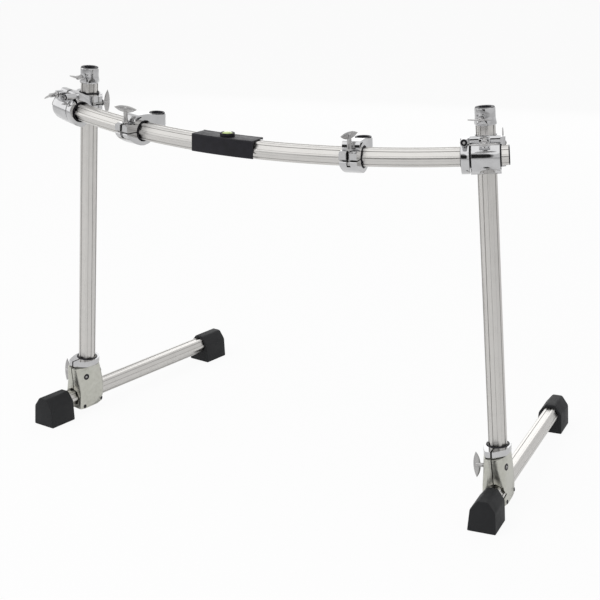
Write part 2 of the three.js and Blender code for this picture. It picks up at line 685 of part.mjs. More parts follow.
function teeClamp(root, side, sign) {
  const seat = barGroup(root, sign * CLAMP_ANGLE);
  const name = (part) => `t_clamp_${side}_${part}`;
  const far = 3 * TEE_HALF;
  const bore = rod("x", BUSH_RADIUS + RING_FIT, -far, far, 0, 0, FACETS);
  const postBore = rod("z", BUSH_RADIUS + RING_FIT, -far, far, 0, POST_OFFSET, FACETS);
  const slotHalf = EYE_WIDTH / 2 + FIT;
  const hingeX = (radius, from, to) => rod("x", radius, from, to, TEE_HINGE.y, TEE_HINGE.z, NUT_FACETS);
  const hingeZ = (radius, from, to) =>
    rod("z", radius, from, to, POST_HINGE.x, POST_OFFSET + POST_HINGE.y, NUT_FACETS);
  const room = KNUCKLE_RADIUS + 2 * FIT;
  const middle = KNUCKLE_HALF + FIT;

  // jaw round the front of the bar, with a crowned lug that the wing nut bears on
  const jawOutline = roundedPolygon([
    [-TEE_GAP, TEE_PIVOT - TEE_BOSS - 2 * FIT, 0],
    ...scaled(TEE_JAW_SHARES, RING_RADIUS),
    [TEE_HINGE.y, TEE_HINGE.z - KNUCKLE_RADIUS, CORNER_ROUND],
    [TEE_HINGE.y, TEE_HINGE.z, 0],
    [-TEE_GAP, TEE_HINGE.z, 0],
  ]);
  const face = (z) => -Math.sqrt((TEE_SEAT - FIT) ** 2 - (z - TEE_PIVOT) ** 2);
  const lugTop = TEE_PIVOT + NUT_RADIUS;
  const lugFoot = TEE_PIVOT - NUT_RADIUS;
  const lugOutline = roundedPolygon([
    [-0.5 * RING_RADIUS, 0.7 * RING_RADIUS, 0],
    [-0.56 * RING_RADIUS, lugTop, EDGE_ROUND],
    [face(lugTop) + EDGE_ROUND, lugTop, EDGE_ROUND],
    [face(TEE_PIVOT), TEE_PIVOT, FLANK_ROUND],
    [face(lugFoot), lugFoot, EDGE_ROUND],
    [-0.96 * RING_RADIUS, 0.3 * RING_RADIUS, 0],
  ]);
  const slotFoot = TEE_PIVOT - EYE_RADIUS;
  const barSlot = prism(
    "x",
    polygon([[-2 * TEE_SEAT, slotFoot], [0, slotFoot], [0, 2 * TEE_PIVOT], [-2 * TEE_SEAT, 2 * TEE_PIVOT]]),
    -slotHalf,
    slotHalf,
  );
  const jawBlank = cut(
    prism("x", jawOutline, TEE_JAW.from, TEE_JAW.to),
    hingeX(room, TEE_JAW.from - OVERRUN, -KNUCKLE_HALF),
    hingeX(room, KNUCKLE_HALF, TEE_JAW.to + OVERRUN),
  );
  const jawWhole = join(
    jawBlank,
    hingeX(KNUCKLE_RADIUS, -KNUCKLE_HALF, KNUCKLE_HALF),
    prism("x", lugOutline, -TEE_LUG_HALF, TEE_LUG_HALF),
  );
  const jawBody = cut(jawWhole, bore, barSlot, hingeX(PIN_RADIUS + FIT, -far, far));
  const jaw = piece(seat, name("bar_jaw"), jawBody, "chrome");
  jaw.userData = { pivot: [0, TEE_HINGE.y, TEE_HINGE.z], axis: [1, 0, 0] };

  // jaw round the rear of the post, drawn about the post axis
  const toPost = (points) => roundedPolygon(points.map(([x, y, round]) => [x, POST_OFFSET + y, round]));
  const rear = (x) => POST_PIVOT.y + Math.sqrt((POST_SEAT - FIT) ** 2 - (x - POST_PIVOT.x) ** 2);
  const lugInner = POST_PIVOT.x - NUT_RADIUS - 2 * FIT;
  const hingeSide = POST_HINGE.x - KNUCKLE_RADIUS;
  const postOutline = toPost([
    [hingeSide, TEE_GAP, 0],
    [POST_LUG, TEE_GAP, EDGE_ROUND],
    [POST_LUG, rear(POST_LUG), EDGE_ROUND],
    [POST_PIVOT.x, rear(POST_PIVOT.x), CORNER_ROUND],
    [lugInner, rear(lugInner), 0],
    ...scaled(POST_JAW_SHARES, RING_RADIUS),
    [hingeSide, POST_HINGE.y + CORNER_ROUND, EDGE_ROUND],
  ]);
  const slotSide = POST_PIVOT.x - EYE_RADIUS;
  const postSlot = (from, to) =>
    prism(
      "z",
      polygon([
        [slotSide, POST_OFFSET + from],
        [2 * POST_LUG, POST_OFFSET + from],
        [2 * POST_LUG, POST_OFFSET + to],
        [slotSide, POST_OFFSET + to],
      ]),
      POST_PIVOT.z - slotHalf,
      POST_PIVOT.z + slotHalf,
    );
  const postBlank = cut(
    prism("z", postOutline, -POST_JAW_HALF, POST_JAW_HALF),
    hingeZ(room, -far, -KNUCKLE_HALF),
    hingeZ(room, KNUCKLE_HALF, far),
  );
  const postJawBody = cut(
    join(postBlank, hingeZ(KNUCKLE_RADIUS, -KNUCKLE_HALF, KNUCKLE_HALF)),
    postBore,
    postSlot(0, 2 * POST_SEAT),
    hingeZ(PIN_RADIUS + FIT, -far, far),
  );
  const postJaw = piece(seat, name("post_jaw"), postJawBody, "chrome");
  postJaw.userData = { pivot: [POST_HINGE.x, POST_OFFSET + POST_HINGE.y, 0], axis: [0, 0, 1] };

  // body: rear half ring on the bar, front half ring on the post, and the ears of both bolts
  const ringFront = POST_OFFSET - RING_RADIUS;
  const ringMiddle = POST_OFFSET - 0.6 * RING_RADIUS;
  const hingeFoot = TEE_HINGE.z - KNUCKLE_RADIUS;
  const barOutline = roundedPolygon([
    [TEE_GAP, hingeFoot, EDGE_ROUND],
    [TEE_HINGE.y + KNUCKLE_RADIUS, hingeFoot + OVERRUN, CORNER_ROUND],
    [ringFront, -TEE_HALF, EDGE_ROUND],
    [ringMiddle, -TEE_HALF, 0],
    [ringMiddle, TEE_HALF, 0],
    [ringFront, TEE_HALF + TEE_EAR_RISE, CORNER_ROUND],
    [TEE_BOSS, TEE_PIVOT + 0.95 * TEE_BOSS, FLANK_ROUND],
    [-0.7 * TEE_BOSS, TEE_PIVOT + 0.9 * TEE_BOSS, CORNER_ROUND],
    [-TEE_BOSS, TEE_PIVOT, CORNER_ROUND],
    [-0.7 * TEE_BOSS, TEE_PIVOT - TEE_BOSS, EDGE_ROUND],
    [TEE_GAP, TEE_PIVOT - TEE_BOSS, 0],
  ]);
  const ringOutline = toPost([
    [hingeSide, -TEE_GAP, 0],
    [hingeSide, POST_HINGE.y - CORNER_ROUND, EDGE_ROUND],
    ...scaled(POST_BODY_SHARES, RING_RADIUS),
    [TEE_TO, -0.8 * RING_RADIUS, EDGE_ROUND],
    [TEE_TO, POST_PIVOT.y - EYE_RADIUS - BOLT_RADIUS, 0],
    [POST_LUG, POST_PIVOT.y - EYE_RADIUS, EDGE_ROUND],
    [POST_LUG, -TEE_GAP, 0],
  ]);
  const eyeBack = EYE_RADIUS + EYE_ROOM;
  const eyeSlot = prism(
    "x",
    polygon([[-2 * TEE_BOSS, 0], [eyeBack, 0], [eyeBack, 2 * TEE_PIVOT], [-2 * TEE_BOSS, 2 * TEE_PIVOT]]),
    -slotHalf,
    slotHalf,
  );
  const blank = cut(
    join(prism("x", barOutline, TEE_FROM, TEE_TO), prism("z", ringOutline, -TEE_HALF, TEE_HALF)),
    hingeX(room, -middle, middle),
    hingeZ(room, -middle, middle),
  );
  const knuckled = join(
    blank,
    hingeX(KNUCKLE_RADIUS, TEE_FROM, -middle),
    hingeX(KNUCKLE_RADIUS, middle, TEE_TO),
    hingeZ(KNUCKLE_RADIUS, -TEE_HALF, -middle),
    hingeZ(KNUCKLE_RADIUS, middle, TEE_HALF),
  );
  const bored = cut(knuckled, bore, postBore, eyeSlot, postSlot(POST_PIVOT.y - eyeBack, OVERRUN));
  const pinEnd = slotHalf + OVERRUN;
  const postPinAt = [POST_PIVOT.x, POST_OFFSET + POST_PIVOT.y];
  const pinned = join(
    bored,
    hingeX(PIN_RADIUS, -middle - OVERRUN, middle + OVERRUN),
    hingeZ(PIN_RADIUS, -middle - OVERRUN, middle + OVERRUN),
    rod("x", PIN_RADIUS, -pinEnd, pinEnd, 0, TEE_PIVOT),
    rod("z", PIN_RADIUS, POST_PIVOT.z - pinEnd, POST_PIVOT.z + pinEnd, ...postPinAt),
  );
  const body = piece(seat, name("body"), pinned, "chrome");
  body.userData = { pivot: [0, 0, 0], axis: [1, 0, 0] };

  clampBolt(
    seat,
    { bolt: name("bar_swing_bolt"), nut: name("bar_wing_nut") },
    { at: [0, 0, TEE_PIVOT], turn: [90, 0, 0] },
    { seat: TEE_SEAT, stem: TEE_STEM, twist: TEE_TWISTS[side] },
  );
  const postBolt = group(seat, [...postPinAt, POST_PIVOT.z], [0, 90, 0]);
  clampBolt(
    postBolt,
    { bolt: name("post_swing_bolt"), nut: name("post_wing_nut") },
    { at: [0, 0, 0], turn: [-90, 0, 0] },
    { seat: POST_SEAT, stem: POST_STEM, twist: 0 },
  );

  barLockRing(seat, name("bar_bush"), side, -sign);
}

// Lock ring beside a T-clamp, in the T-clamp's frame, and the long bush that both sit on

const LOCK_FROM = 31.4; // ring's faces from the middle of the T-clamp
const LOCK_TO = 48.6;
const LOCK_RADIUS = 31;
const LOCK_LUG = { front: -37, back: -14, top: 43 };
const LOCK_SPLIT = 2;
const LOCK_SHARES = [
  // the ring from its front lug round to its top: y, z and rounding, in shares of its radius
  [-1, 0.3, 0.13],
  [-1, -0.4, 0.32],
  [-0.6, -0.95, 0.39],
  [0.1, -1.22, 0.26],
  [0.8, -0.8, 0.45],
  [1.05, 0.1, 0.45],
  [0.6, 0.95, 0.45],
  [-0.1, 1.3, 0.19],
];
const KEY = { half: 3, from: 2, to: 9 }; // square head of the ring's bolt, above the lug

function barLockRing(seat, bushName, side, inward) {
  const ordered = (near, away) => [inward * near, inward * away].sort((a, b) => a - b);
  const swept = new THREE.ExtrudeGeometry(hexagon(TUBE_FLATS + 2 * BEND_FIT, TUBE_CORNER), {
    steps: BAR_STEPS,
    bevelEnabled: false,
    curveSegments: 1,
    extrudePath: new BarCurve(-BAR_END, BAR_END),
  });
  seat.updateMatrixWorld(true);
  swept.applyMatrix4(seat.matrixWorld.clone().invert());
  const bushEnds = ordered(LOCK_TO + OVERRUN, -TEE_TO - OVERRUN);
  piece(seat, bushName, bush("x", ...bushEnds, solid(swept)), "plastic");

  // split ring with a front lug, drawn together by a square-headed bolt
  const [from, to] = ordered(LOCK_FROM, LOCK_TO);
  const middle = (from + to) / 2;
  const outline = roundedPolygon([
    [LOCK_LUG.back, LOCK_LUG.top, CORNER_ROUND],
    [LOCK_LUG.front, LOCK_LUG.top, CORNER_ROUND],
    [LOCK_LUG.front, 0.62 * LOCK_RADIUS, CORNER_ROUND],
    ...scaled(LOCK_SHARES, LOCK_RADIUS),
  ]);
  const gapTop = 0.9 * LOCK_RADIUS;
  const gapSide = -0.3 * LOCK_RADIUS;
  const gap = polygon([
    [2 * LOCK_LUG.front, gapTop],
    [gapSide, gapTop],
    [gapSide, -gapSide],
    [gapSide + LOCK_SPLIT, -gapSide],
    [gapSide + LOCK_SPLIT, gapTop + LOCK_SPLIT],
    [2 * LOCK_LUG.front, gapTop + LOCK_SPLIT],
  ]);
  const ring = cut(
    prism("x", outline, from, to),
    rod("x", BUSH_RADIUS + RING_FIT, from - OVERRUN, to + OVERRUN, 0, 0, FACETS),
    prism("x", gap, from - OVERRUN, to + OVERRUN),
  );
  const keyAt = [middle, (LOCK_LUG.front + LOCK_LUG.back) / 2];
  const shank = rod("z", BOLT_RADIUS, LOCK_RADIUS / 2, LOCK_LUG.top + KEY.to, ...keyAt);
  const head = new THREE.BoxGeometry(2 * KEY.half, 2 * KEY.half, KEY.to - KEY.from);
  head.translate(...keyAt, LOCK_LUG.top + (KEY.from + KEY.to) / 2);
  piece(seat, `bar_lock_ring_${side}`, join(ring, shank, solid(head)), "chrome");
}

// Leg: x to the right, y to the rear, z up along the post, from the place where its axis meets the floor

const POST_FOOT = 71.5; // lower end of the post above the floor
const POST_HEAD = 62; // upper end of the post above the bar's level

function legFrames(sign) {
  // where the post's axis meets the floor, the leg's axes, the floor bar's axes and the bar's level
  const here = alongBar(sign * CLAMP_ANGLE);
  const level = here.point.clone().addScaledVector(here.inward, POST_OFFSET);
  const rise = level.z / here.square.z;
  const foot = level.clone().addScaledVector(here.square, -rise);
  const toe = rad(TOE_IN) * sign;
  const run = new THREE.Vector3(-Math.sin(toe), Math.cos(toe), 0);
  const back = run.clone().addScaledVector(here.square, -run.dot(here.square)).normalize();
  const right = new THREE.Vector3().crossVectors(back, here.square);
  const up = new THREE.Vector3(0, 0, 1);
  const leg = new THREE.Matrix4().makeBasis(right, back, here.square).setPosition(foot);
  const floor = new THREE.Matrix4().makeBasis(new THREE.Vector3().crossVectors(run, up), run, up);
  floor.setPosition(foot);
  return { leg, floor, rise };
}

function placed(parent, matrix) {
  const made = new THREE.Group();
  matrix.decompose(made.position, made.quaternion, made.scale);
  parent.add(made);
  return made;
}

function loft(rings) {
  // rings of equal counts, each anticlockwise seen from above, joined side by side and closed by fans
  const count = rings[0].length;
  const index = [];
  for (let r = 0; r + 1 < rings.length; r++) {
    for (let i = 0; i < count; i++) {
      const a = r * count + i;
      const b = r * count + ((i + 1) % count);
      index.push(a, b, b + count, a, b + count, a + count);
    }
  }
  const top = (rings.length - 1) * count;
  for (let i = 1; i + 1 < count; i++) {
    index.push(0, i + 1, i);
    index.push(top, top + i, top + i + 1);
  }
  const geometry = new THREE.BufferGeometry().setFromPoints(rings.flat());
  geometry.setIndex(index);
  return geometry;
}

function wingBolt(reach, stem, span, width) {
  // a bolt along z from its tip to the hub's seat at zero, and the wing beyond
  const shank = rod("z", LEG_BOLT_RADIUS, -reach, stem);
  const hub = rod("z", STEM_RADIUS, 0, stem + NECK_SHARE * width, 0, 0, NUT_FACETS);
  return join(shank, hub, blade(stem, span, width, WING_THICK));
}

function post(stand, side, rise) {
  const top = rise + POST_HEAD;
  const tube = piece(stand, `post_${side}`, prism("z", tubeShape(), POST_FOOT, top, 1), "anodised");
  tube.userData = { pivot: [0, 0, rise], axis: [0, 0, 1] };
  const half = TEE_HALF + 2 * OVERRUN;
  const bore = prism("z", hexagon(TUBE_FLATS + 2 * FIT, TUBE_CORNER), rise - 2 * half, rise + 2 * half, 1);
  piece(stand, `t_clamp_${side}_post_bush`, bush("z", rise - half, rise + half, bore), "plastic");
}

// Holder on top of the post: a sleeve that turns from hexagonal to round, with a boss at the front

const HOLDER_FROM = 54.7; // ends of the sleeve above the bar's level
const HOLDER_TO = 90;
const HOLDER_WALL = 1.9;
const HOLDER_SHARES = [
  // height and roundness of the sleeve's rings
  [0, 0],
  [0.12, 0],
  [0.45, 1],
  [1, 1],
];
const ROUND_SHARE = 0.999; // radius of a round ring, as a share of half its width
const INSERT_RADIUS = 18;
const INSERT_RIM = 0.8; // insert above the sleeve
const BOSS = { radius: 7, reach: 27, up: 71 };
const HOLDER_WING = { stem: 5, span: 50, width: 14 };

function postHolder(stand, side, rise) {
  const from = rise + HOLDER_FROM;
  const to = rise + HOLDER_TO;
  const postTop = rise + POST_HEAD;
  const outer = TUBE_FLATS + 2 * FIT + 2 * HOLDER_WALL;
  const rings = HOLDER_SHARES.map(([height, round]) => {
    const corner = THREE.MathUtils.lerp(TUBE_CORNER, (ROUND_SHARE * outer) / 2, round);
    const z = THREE.MathUtils.lerp(from, to, height);
    return hexagonRing(outer, corner, 2).map(([u, v]) => new THREE.Vector3(u, v, z));
  });
  const bossAt = rise + BOSS.up;
  const boss = rod("y", BOSS.radius, -BOSS.reach, -INSERT_RADIUS, bossAt, 0, NUT_FACETS);
  const sleeve = cut(
    join(solid(loft(rings)), boss),
    prism("z", hexagon(TUBE_FLATS + 2 * FIT, TUBE_CORNER), from - OVERRUN, postTop + FIT, 1),
    rod("z", INSERT_RADIUS + FIT, postTop, to + OVERRUN, 0, 0, FACETS),
    rod("y", LEG_BOLT_RADIUS + FIT, -BOSS.reach - OVERRUN, 0, bossAt, 0),
  );
  piece(stand, `post_holder_${side}`, sleeve, "chrome");
  const liner = rod("z", INSERT_RADIUS, postTop + FIT, to + INSERT_RIM, 0, 0, FACETS);
  const hole = rod("z", SOCKET_BORE, postTop, to + INSERT_RIM + OVERRUN, 0, 0, FACETS);
  piece(stand, `holder_insert_${side}`, cut(liner, hole), "plastic");
  const { stem, span, width } = HOLDER_WING;
  const seat = group(stand, [0, -BOSS.reach - FIT, bossAt], [90, 0, 0]);
  const bolt = wingBolt(BOSS.reach - INSERT_RADIUS - FIT, stem, span, width);
  const wing = piece(seat, `holder_wing_bolt_${side}`, bolt, "chrome");
  wing.userData = { pivot: [0, 0, 0], axis: [0, 0, 1] };
}

// Base: two halves round the foot of the post and the floor bar, a wing bolt and a lock ring on top

const FLOOR_BAR_AT = 46; // axis of the floor bar above the floor
const BASE_HALF = 26; // half the width of the base
const BASE_SPLIT = 1.2; // half the gap between its halves
const BASE_FOOT = 18.3; // lowest and highest levels of the halves, below the neck
const BASE_TOP = 129;
const BASE_FRONT = 55; // largest reaches to the front and to the rear of the post's axis
const BASE_REAR = 43;
const BASE_SHARES = [
  // height, then reaches to the front and rear, then half-width at the front and corner radius
  [0, 0.8, 0.51, 0.85, 0.19],
  [0.03, 0.86, 0.79, 0.94, 0.19],
  [0.2, 0.85, 0.95, 0.98, 0.25],
  [0.42, 0.84, 1, 0.95, 0.3],
  [0.65, 0.88, 0.91, 0.81, 0.35],
  [0.81, 0.94, 0.8, 0.69, 0.35],
  [1, 1, 0.65, 0.58, 0.35],
];
const BASE_NECK = 145; // top of the neck inside the lock ring
const BASE_MOUTH = 36; // front opening round the floor bar: its depth, measured from the post's axis
const BASE_BOLT = { y: -28, z: 104 };
const BASE_SLOT = { radius: 2.2, depth: 4 };
const BASE_SLOT_SHARES = [
  // places of the small recesses in the right cheek, in shares of the base's half-width and height
  [-1.31, 0.155],
  [1.19, 0.159],
  [1.29, 0.814],
];
const BASE_WING = { stem: 6, span: 60, width: 16 };
const LEG_LOCK = { from: 130.2, to: 144.5, radius: 31, front: -49, left: -17, right: 26, slot: 3.3 };
const LEG_LOCK_SHARES = [
  // the ring from its front lug round to its left side: x, y and rounding, in shares of its radius
  [1.04, 0, 0.5],
  [0.72, 0.8, 0.45],
  [0, 1.3, 0.5],
  [-0.72, 0.8, 0.45],
  [-1.04, 0, 0.5],
  [-0.82, -0.8, 0.26],
];

function baseShell(sign) {
  // one half of the clamshell: its plan at each height has a rounded front corner and a rounded rear corner
  const rings = BASE_SHARES.map(([height, ahead, behind, slim, round]) => {
    const front = -ahead * BASE_FRONT;
    const rear = behind * BASE_REAR;
    const nose = slim * BASE_HALF;
    const corner = round * BASE_HALF;
    const corners = [
      [BASE_SPLIT, front, 0],
      [nose, front, corner],
      [BASE_HALF, front + 2 * (BASE_HALF - nose) + corner, corner],
      [BASE_HALF, rear - corner, corner],
      [BASE_HALF - 1.5 * corner, rear, corner],
      [BASE_SPLIT, rear, 0],
    ];
    const z = THREE.MathUtils.lerp(BASE_FOOT, BASE_TOP, height);
    const ring = roundedRing(corners, () => 2).map((p) => new THREE.Vector3(sign * p.x, p.y, z));
    return sign > 0 ? ring : ring.reverse();
  });
  return solid(loft(rings));
}

function legBase(stand, side, rise, floorBore) {
  const postRoom = prism("z", hexagon(TUBE_FLATS + 2 * FIT, TUBE_CORNER), POST_FOOT - FIT, rise, 1);
  const { y: boltY, z: boltZ } = BASE_BOLT;
  const boltHole = rod("x", LEG_BOLT_RADIUS + FIT, -2 * BASE_HALF, 2 * BASE_HALF, boltY, boltZ);
  const slots = BASE_SLOT_SHARES.map(([y, z]) => {
    const shape = circle(BASE_SLOT.radius, y * BASE_HALF, z * BASE_TOP);
    return prism("x", shape, BASE_HALF - BASE_SLOT.depth, BASE_HALF + OVERRUN, 3);
  });
  for (const [half, turn] of [
    ["left", -1],
    ["right", 1],
  ]) {
    const wide = 2 * BUSH_RADIUS;
    const splitFace = turn * BASE_SPLIT;
    const neckSide = polygon([[splitFace, -wide], [splitFace, wide], [turn * wide, wide], [turn * wide, -wide]]);
    const neckRod = rod("z", BUSH_RADIUS, BASE_TOP - OVERRUN, BASE_NECK, 0, 0, FACETS);
    const neck = neckRod.intersect(prism("z", neckSide, 0, BASE_NECK + OVERRUN));
    const shell = cut(join(baseShell(turn), neck), postRoom, ...floorBore, boltHole);
    piece(stand, `base_${side}_${half}_half`, turn > 0 ? cut(shell, ...slots) : shell, "satin");
  }
  const { stem, span, width } = BASE_WING;
  const seat = group(stand, [-BASE_HALF - FIT, boltY, boltZ], [0, -90, 0]);
  const wing = piece(seat, `base_${side}_wing_bolt`, wingBolt(2 * BASE_HALF, stem, span, width), "satin");
  wing.userData = { pivot: [0, 0, 0], axis: [0, 0, 1] };
}

function legLockRing(stand, side) {
  const { from, to, radius, front, left, right, slot } = LEG_LOCK;
  const outline = roundedPolygon([
    [left, front + CORNER_ROUND, CORNER_ROUND],
    [left + CORNER_ROUND, front, CORNER_ROUND],
    [0.2 * right, front, EDGE_ROUND],
    [right, -0.95 * radius, CORNER_ROUND],
    ...scaled(LEG_LOCK_SHARES, radius),
  ]);
  const gap = polygon([[-slot, 2 * front], [0, 2 * front], [0, 0], [-slot, 0]]);
  const ring = cut(
    prism("z", outline, from, to),
    prism("z", gap, from - OVERRUN, to + OVERRUN),
    rod("z", BUSH_RADIUS + RING_FIT, from - OVERRUN, to + OVERRUN, 0, 0, FACETS),
  );
  piece(stand, `leg_lock_ring_${side}`, ring, "chrome");
}

// Floor bar and its feet: y along the bar

const FOOT_LENGTH = 78;
const FOOT_HALF = 31.5;
const FOOT_HEIGHT = 72;
const FOOT_END = 7; // rubber past the end of the floor bar
const FOOT_SHARES = [
  // across, in shares of the half-width, and up, in shares of the height
  [-1, 0],
  [1, 0],
  [0.89, 0.69],
  [0.37, 1],
  [-0.37, 1],
  [-0.89, 0.69],
];

function floorBar(ground, side) {
  const bar = group(ground, [0, 0, FLOOR_BAR_AT]);
  const front = -FRONT_REACH + FOOT_END;
  const rear = REAR_REACH - FOOT_END;
  const shape = turned(tubeShape(), 90);
  const tube = piece(bar, `floor_bar_${side}`, prism("y", shape, front, rear, 1), "anodised");
  tube.userData = { pivot: [0, 0, 0], axis: [0, 1, 0] };
  const corners = FOOT_SHARES.map(([x, z]) => [z * FOOT_HEIGHT - FLOOR_BAR_AT, x * FOOT_HALF, EDGE_ROUND]);
  const outline = roundedPolygon(corners);
  const room = turned(hexagon(TUBE_FLATS + 2 * FIT, TUBE_CORNER), 90);
  for (const [end, at, out] of [
    ["front", -FRONT_REACH, -1],
    ["rear", REAR_REACH, 1],
  ]) {
    const along = (shape, ...depths) => {
      const places = depths.map((depth) => at - out * depth);
      return prism("y", shape, Math.min(...places), Math.max(...places), 1);
    };
    const foot = cut(along(outline, 0, FOOT_LENGTH), along(room, FOOT_END - FIT, FOOT_LENGTH + OVERRUN));
    piece(bar, `${end}_foot_${side}`, foot, "rubber");
  }
}

function leg(root, side, sign) {
  const { leg: legMatrix, floor: floorMatrix, rise } = legFrames(sign);
  const stand = placed(root, legMatrix);
  const toStand = legMatrix.clone().invert().multiply(floorMatrix);
  const alongFloor = (shape, from, to) => {
    const geometry = prismGeometry("y", shape, from, to);
    return placedSolid(geometry, toStand, FLOOR_BAR_AT);
  };
  const hexagonal = turned(hexagon(TUBE_FLATS + 2 * FIT, TUBE_CORNER), 90);
  const through = alongFloor(hexagonal, -4 * BASE_HALF, 4 * BASE_HALF);
  const mouth = alongFloor(circle(BUSH_RADIUS), -2 * BASE_MOUTH, -BASE_MOUTH);
  post(stand, side, rise);
  postHolder(stand, side, rise);
  legBase(stand, side, rise, [through, mouth]);
  legLockRing(stand, side);
  floorBar(placed(root, floorMatrix), side);
}

// The whole rack

const rack = new THREE.Group();
curvedBar(rack);
badgeCover(rack);
for (const [side, sign] of [
  ["left", -1],
  ["right", 1],
]) {
  barEndCap(rack, side, sign);
  multiClamp(rack, side);
  teeClamp(rack, side, sign);
  leg(rack, side, sign);
}

// the origin lies under the middle of the rack's box, on the floor
const centre = new THREE.Box3().setFromObject(rack, true).getCenter(new THREE.Vector3());
rack.position.y = -centre.y;

export default rack;
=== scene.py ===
import json

import bmesh
import bpy
import numpy as np
from mathutils import Matrix, Vector
from mathutils.bvhtree import BVHTree

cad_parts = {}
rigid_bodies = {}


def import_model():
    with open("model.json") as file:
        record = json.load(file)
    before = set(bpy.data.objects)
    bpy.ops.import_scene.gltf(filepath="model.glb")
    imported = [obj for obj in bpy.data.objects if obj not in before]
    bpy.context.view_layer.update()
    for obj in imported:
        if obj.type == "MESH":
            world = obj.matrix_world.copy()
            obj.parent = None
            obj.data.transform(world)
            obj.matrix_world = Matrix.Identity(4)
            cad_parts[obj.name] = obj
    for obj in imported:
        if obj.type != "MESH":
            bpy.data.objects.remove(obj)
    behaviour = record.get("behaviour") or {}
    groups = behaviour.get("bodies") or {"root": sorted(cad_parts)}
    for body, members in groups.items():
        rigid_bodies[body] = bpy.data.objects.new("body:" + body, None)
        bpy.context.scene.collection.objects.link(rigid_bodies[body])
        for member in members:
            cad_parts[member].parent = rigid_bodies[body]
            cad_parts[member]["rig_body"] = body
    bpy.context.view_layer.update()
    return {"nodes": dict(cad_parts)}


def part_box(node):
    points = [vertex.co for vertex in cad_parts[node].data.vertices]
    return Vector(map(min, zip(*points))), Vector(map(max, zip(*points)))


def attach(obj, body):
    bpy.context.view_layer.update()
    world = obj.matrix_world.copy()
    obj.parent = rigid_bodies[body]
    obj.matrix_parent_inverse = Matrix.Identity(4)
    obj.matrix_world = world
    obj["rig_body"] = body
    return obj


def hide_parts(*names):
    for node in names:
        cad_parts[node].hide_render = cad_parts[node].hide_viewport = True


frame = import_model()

# CURVED BAR
# The rack's main rail: hexagonal aluminium tube with a shallow groove down each face, extruded and
# then bent to an arc. Clear satin anodising leaves fine streaks along it and a soft, warm grey sheen.

MM = 0.001  # sizes are in millimetres and angles in degrees, and the scene is in metres
BAR_RADIUS = 1453  # of the bend, to the tube's axis
BAR_TILT = 13.27  # degrees by which the bend's plane rises to the rear
BAR_HEIGHT = 765.5
TEE_ANGLE = 21.05  # degrees along the bend from the middle to each T-clamp
BAR_PAST = 46  # of tube beyond a T-clamp's middle
BAR_END = TEE_ANGLE + np.degrees(BAR_PAST / BAR_RADIUS)
TUBE_FLATS = 38
TUBE_WALL = 3
TUBE_CORNER = 7
GROOVE_TOP, GROOVE_FLOOR, GROOVE_DEPTH = 11, 9.4, 1.3
TUBE_POINT = (TUBE_FLATS / 2 - TUBE_CORNER) / np.cos(np.pi / 6) + TUBE_CORNER
SHIFT_Y = 1000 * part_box("curved_bar")[0].y + TUBE_POINT
BODY_OF = {node.name: node["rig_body"] for node in frame["nodes"].values()}


def linear(colour):
    """An sRGB colour written in hex, as the linear numbers that shaders take."""
    channels = np.array([int(colour[i : i + 2], 16) for i in (0, 2, 4)]) / 255
    light = np.where(channels <= 0.04045, channels / 12.92, ((channels + 0.055) / 1.055) ** 2.4)
    return (*light.tolist(), 1.0)


def add(tree, kind, settings=None, values=None):
    """A node with its settings. A value goes into the input it names, or is linked if it is a socket."""
    node = tree.nodes.new(kind)
    for name, setting in (settings or {}).items():
        setattr(node, name, setting)
    for name, value in (values or {}).items():
        if isinstance(value, bpy.types.NodeSocket):
            tree.links.new(value, node.inputs[name])
        else:
            node.inputs[name].default_value = value
    return node


def started(name):
    """An empty material and its node tree, ready for a surface."""
    material = bpy.data.materials.new(name)
    material.use_nodes = True
    material.node_tree.nodes.clear()
    return material, material.node_tree


def closed(tree, surface):
    """Sends the surface's first socket to the material's output."""
    add(tree, "ShaderNodeOutputMaterial", None, {"Surface": surface.outputs[0]})


def bar_seat(angle):
    """Frames on the bar's axis at turns along its bend: the axis runs R sin t across and R (1 - cos t)
    up a tilted plane. x follows the bar, y is level and points to the rear, z is square to both."""
    turn, tilt = np.radians(angle), np.radians(BAR_TILT)
    ahead = np.stack([np.cos(turn), np.sin(turn) * np.cos(tilt), np.sin(turn) * np.sin(tilt)], -1)
    inward = np.cross([0, 0, 1], ahead)
    inward /= np.linalg.norm(inward, axis=-1, keepdims=True)
    drop = BAR_RADIUS * (1 - np.cos(turn))
    place = [BAR_RADIUS * np.sin(turn), drop * np.cos(tilt) + SHIFT_Y, BAR_HEIGHT + drop * np.sin(tilt)]
    seat = np.zeros((*np.shape(turn), 4, 4))
    seat[..., :3, 0], seat[..., :3, 1], seat[..., :3, 2] = ahead, inward, np.cross(ahead, inward)
    seat[..., :3, 3], seat[..., 3, 3] = np.stack(place, -1), 1
    return seat


def placed(seat, points):
    """Points drawn in a seat's own axes, carried to where the seat is. Several seats take a ring each."""
    turned = np.einsum("...ij,...kj->...ki", seat[..., :3, :3], points)
    return turned + seat[..., None, :3, 3]


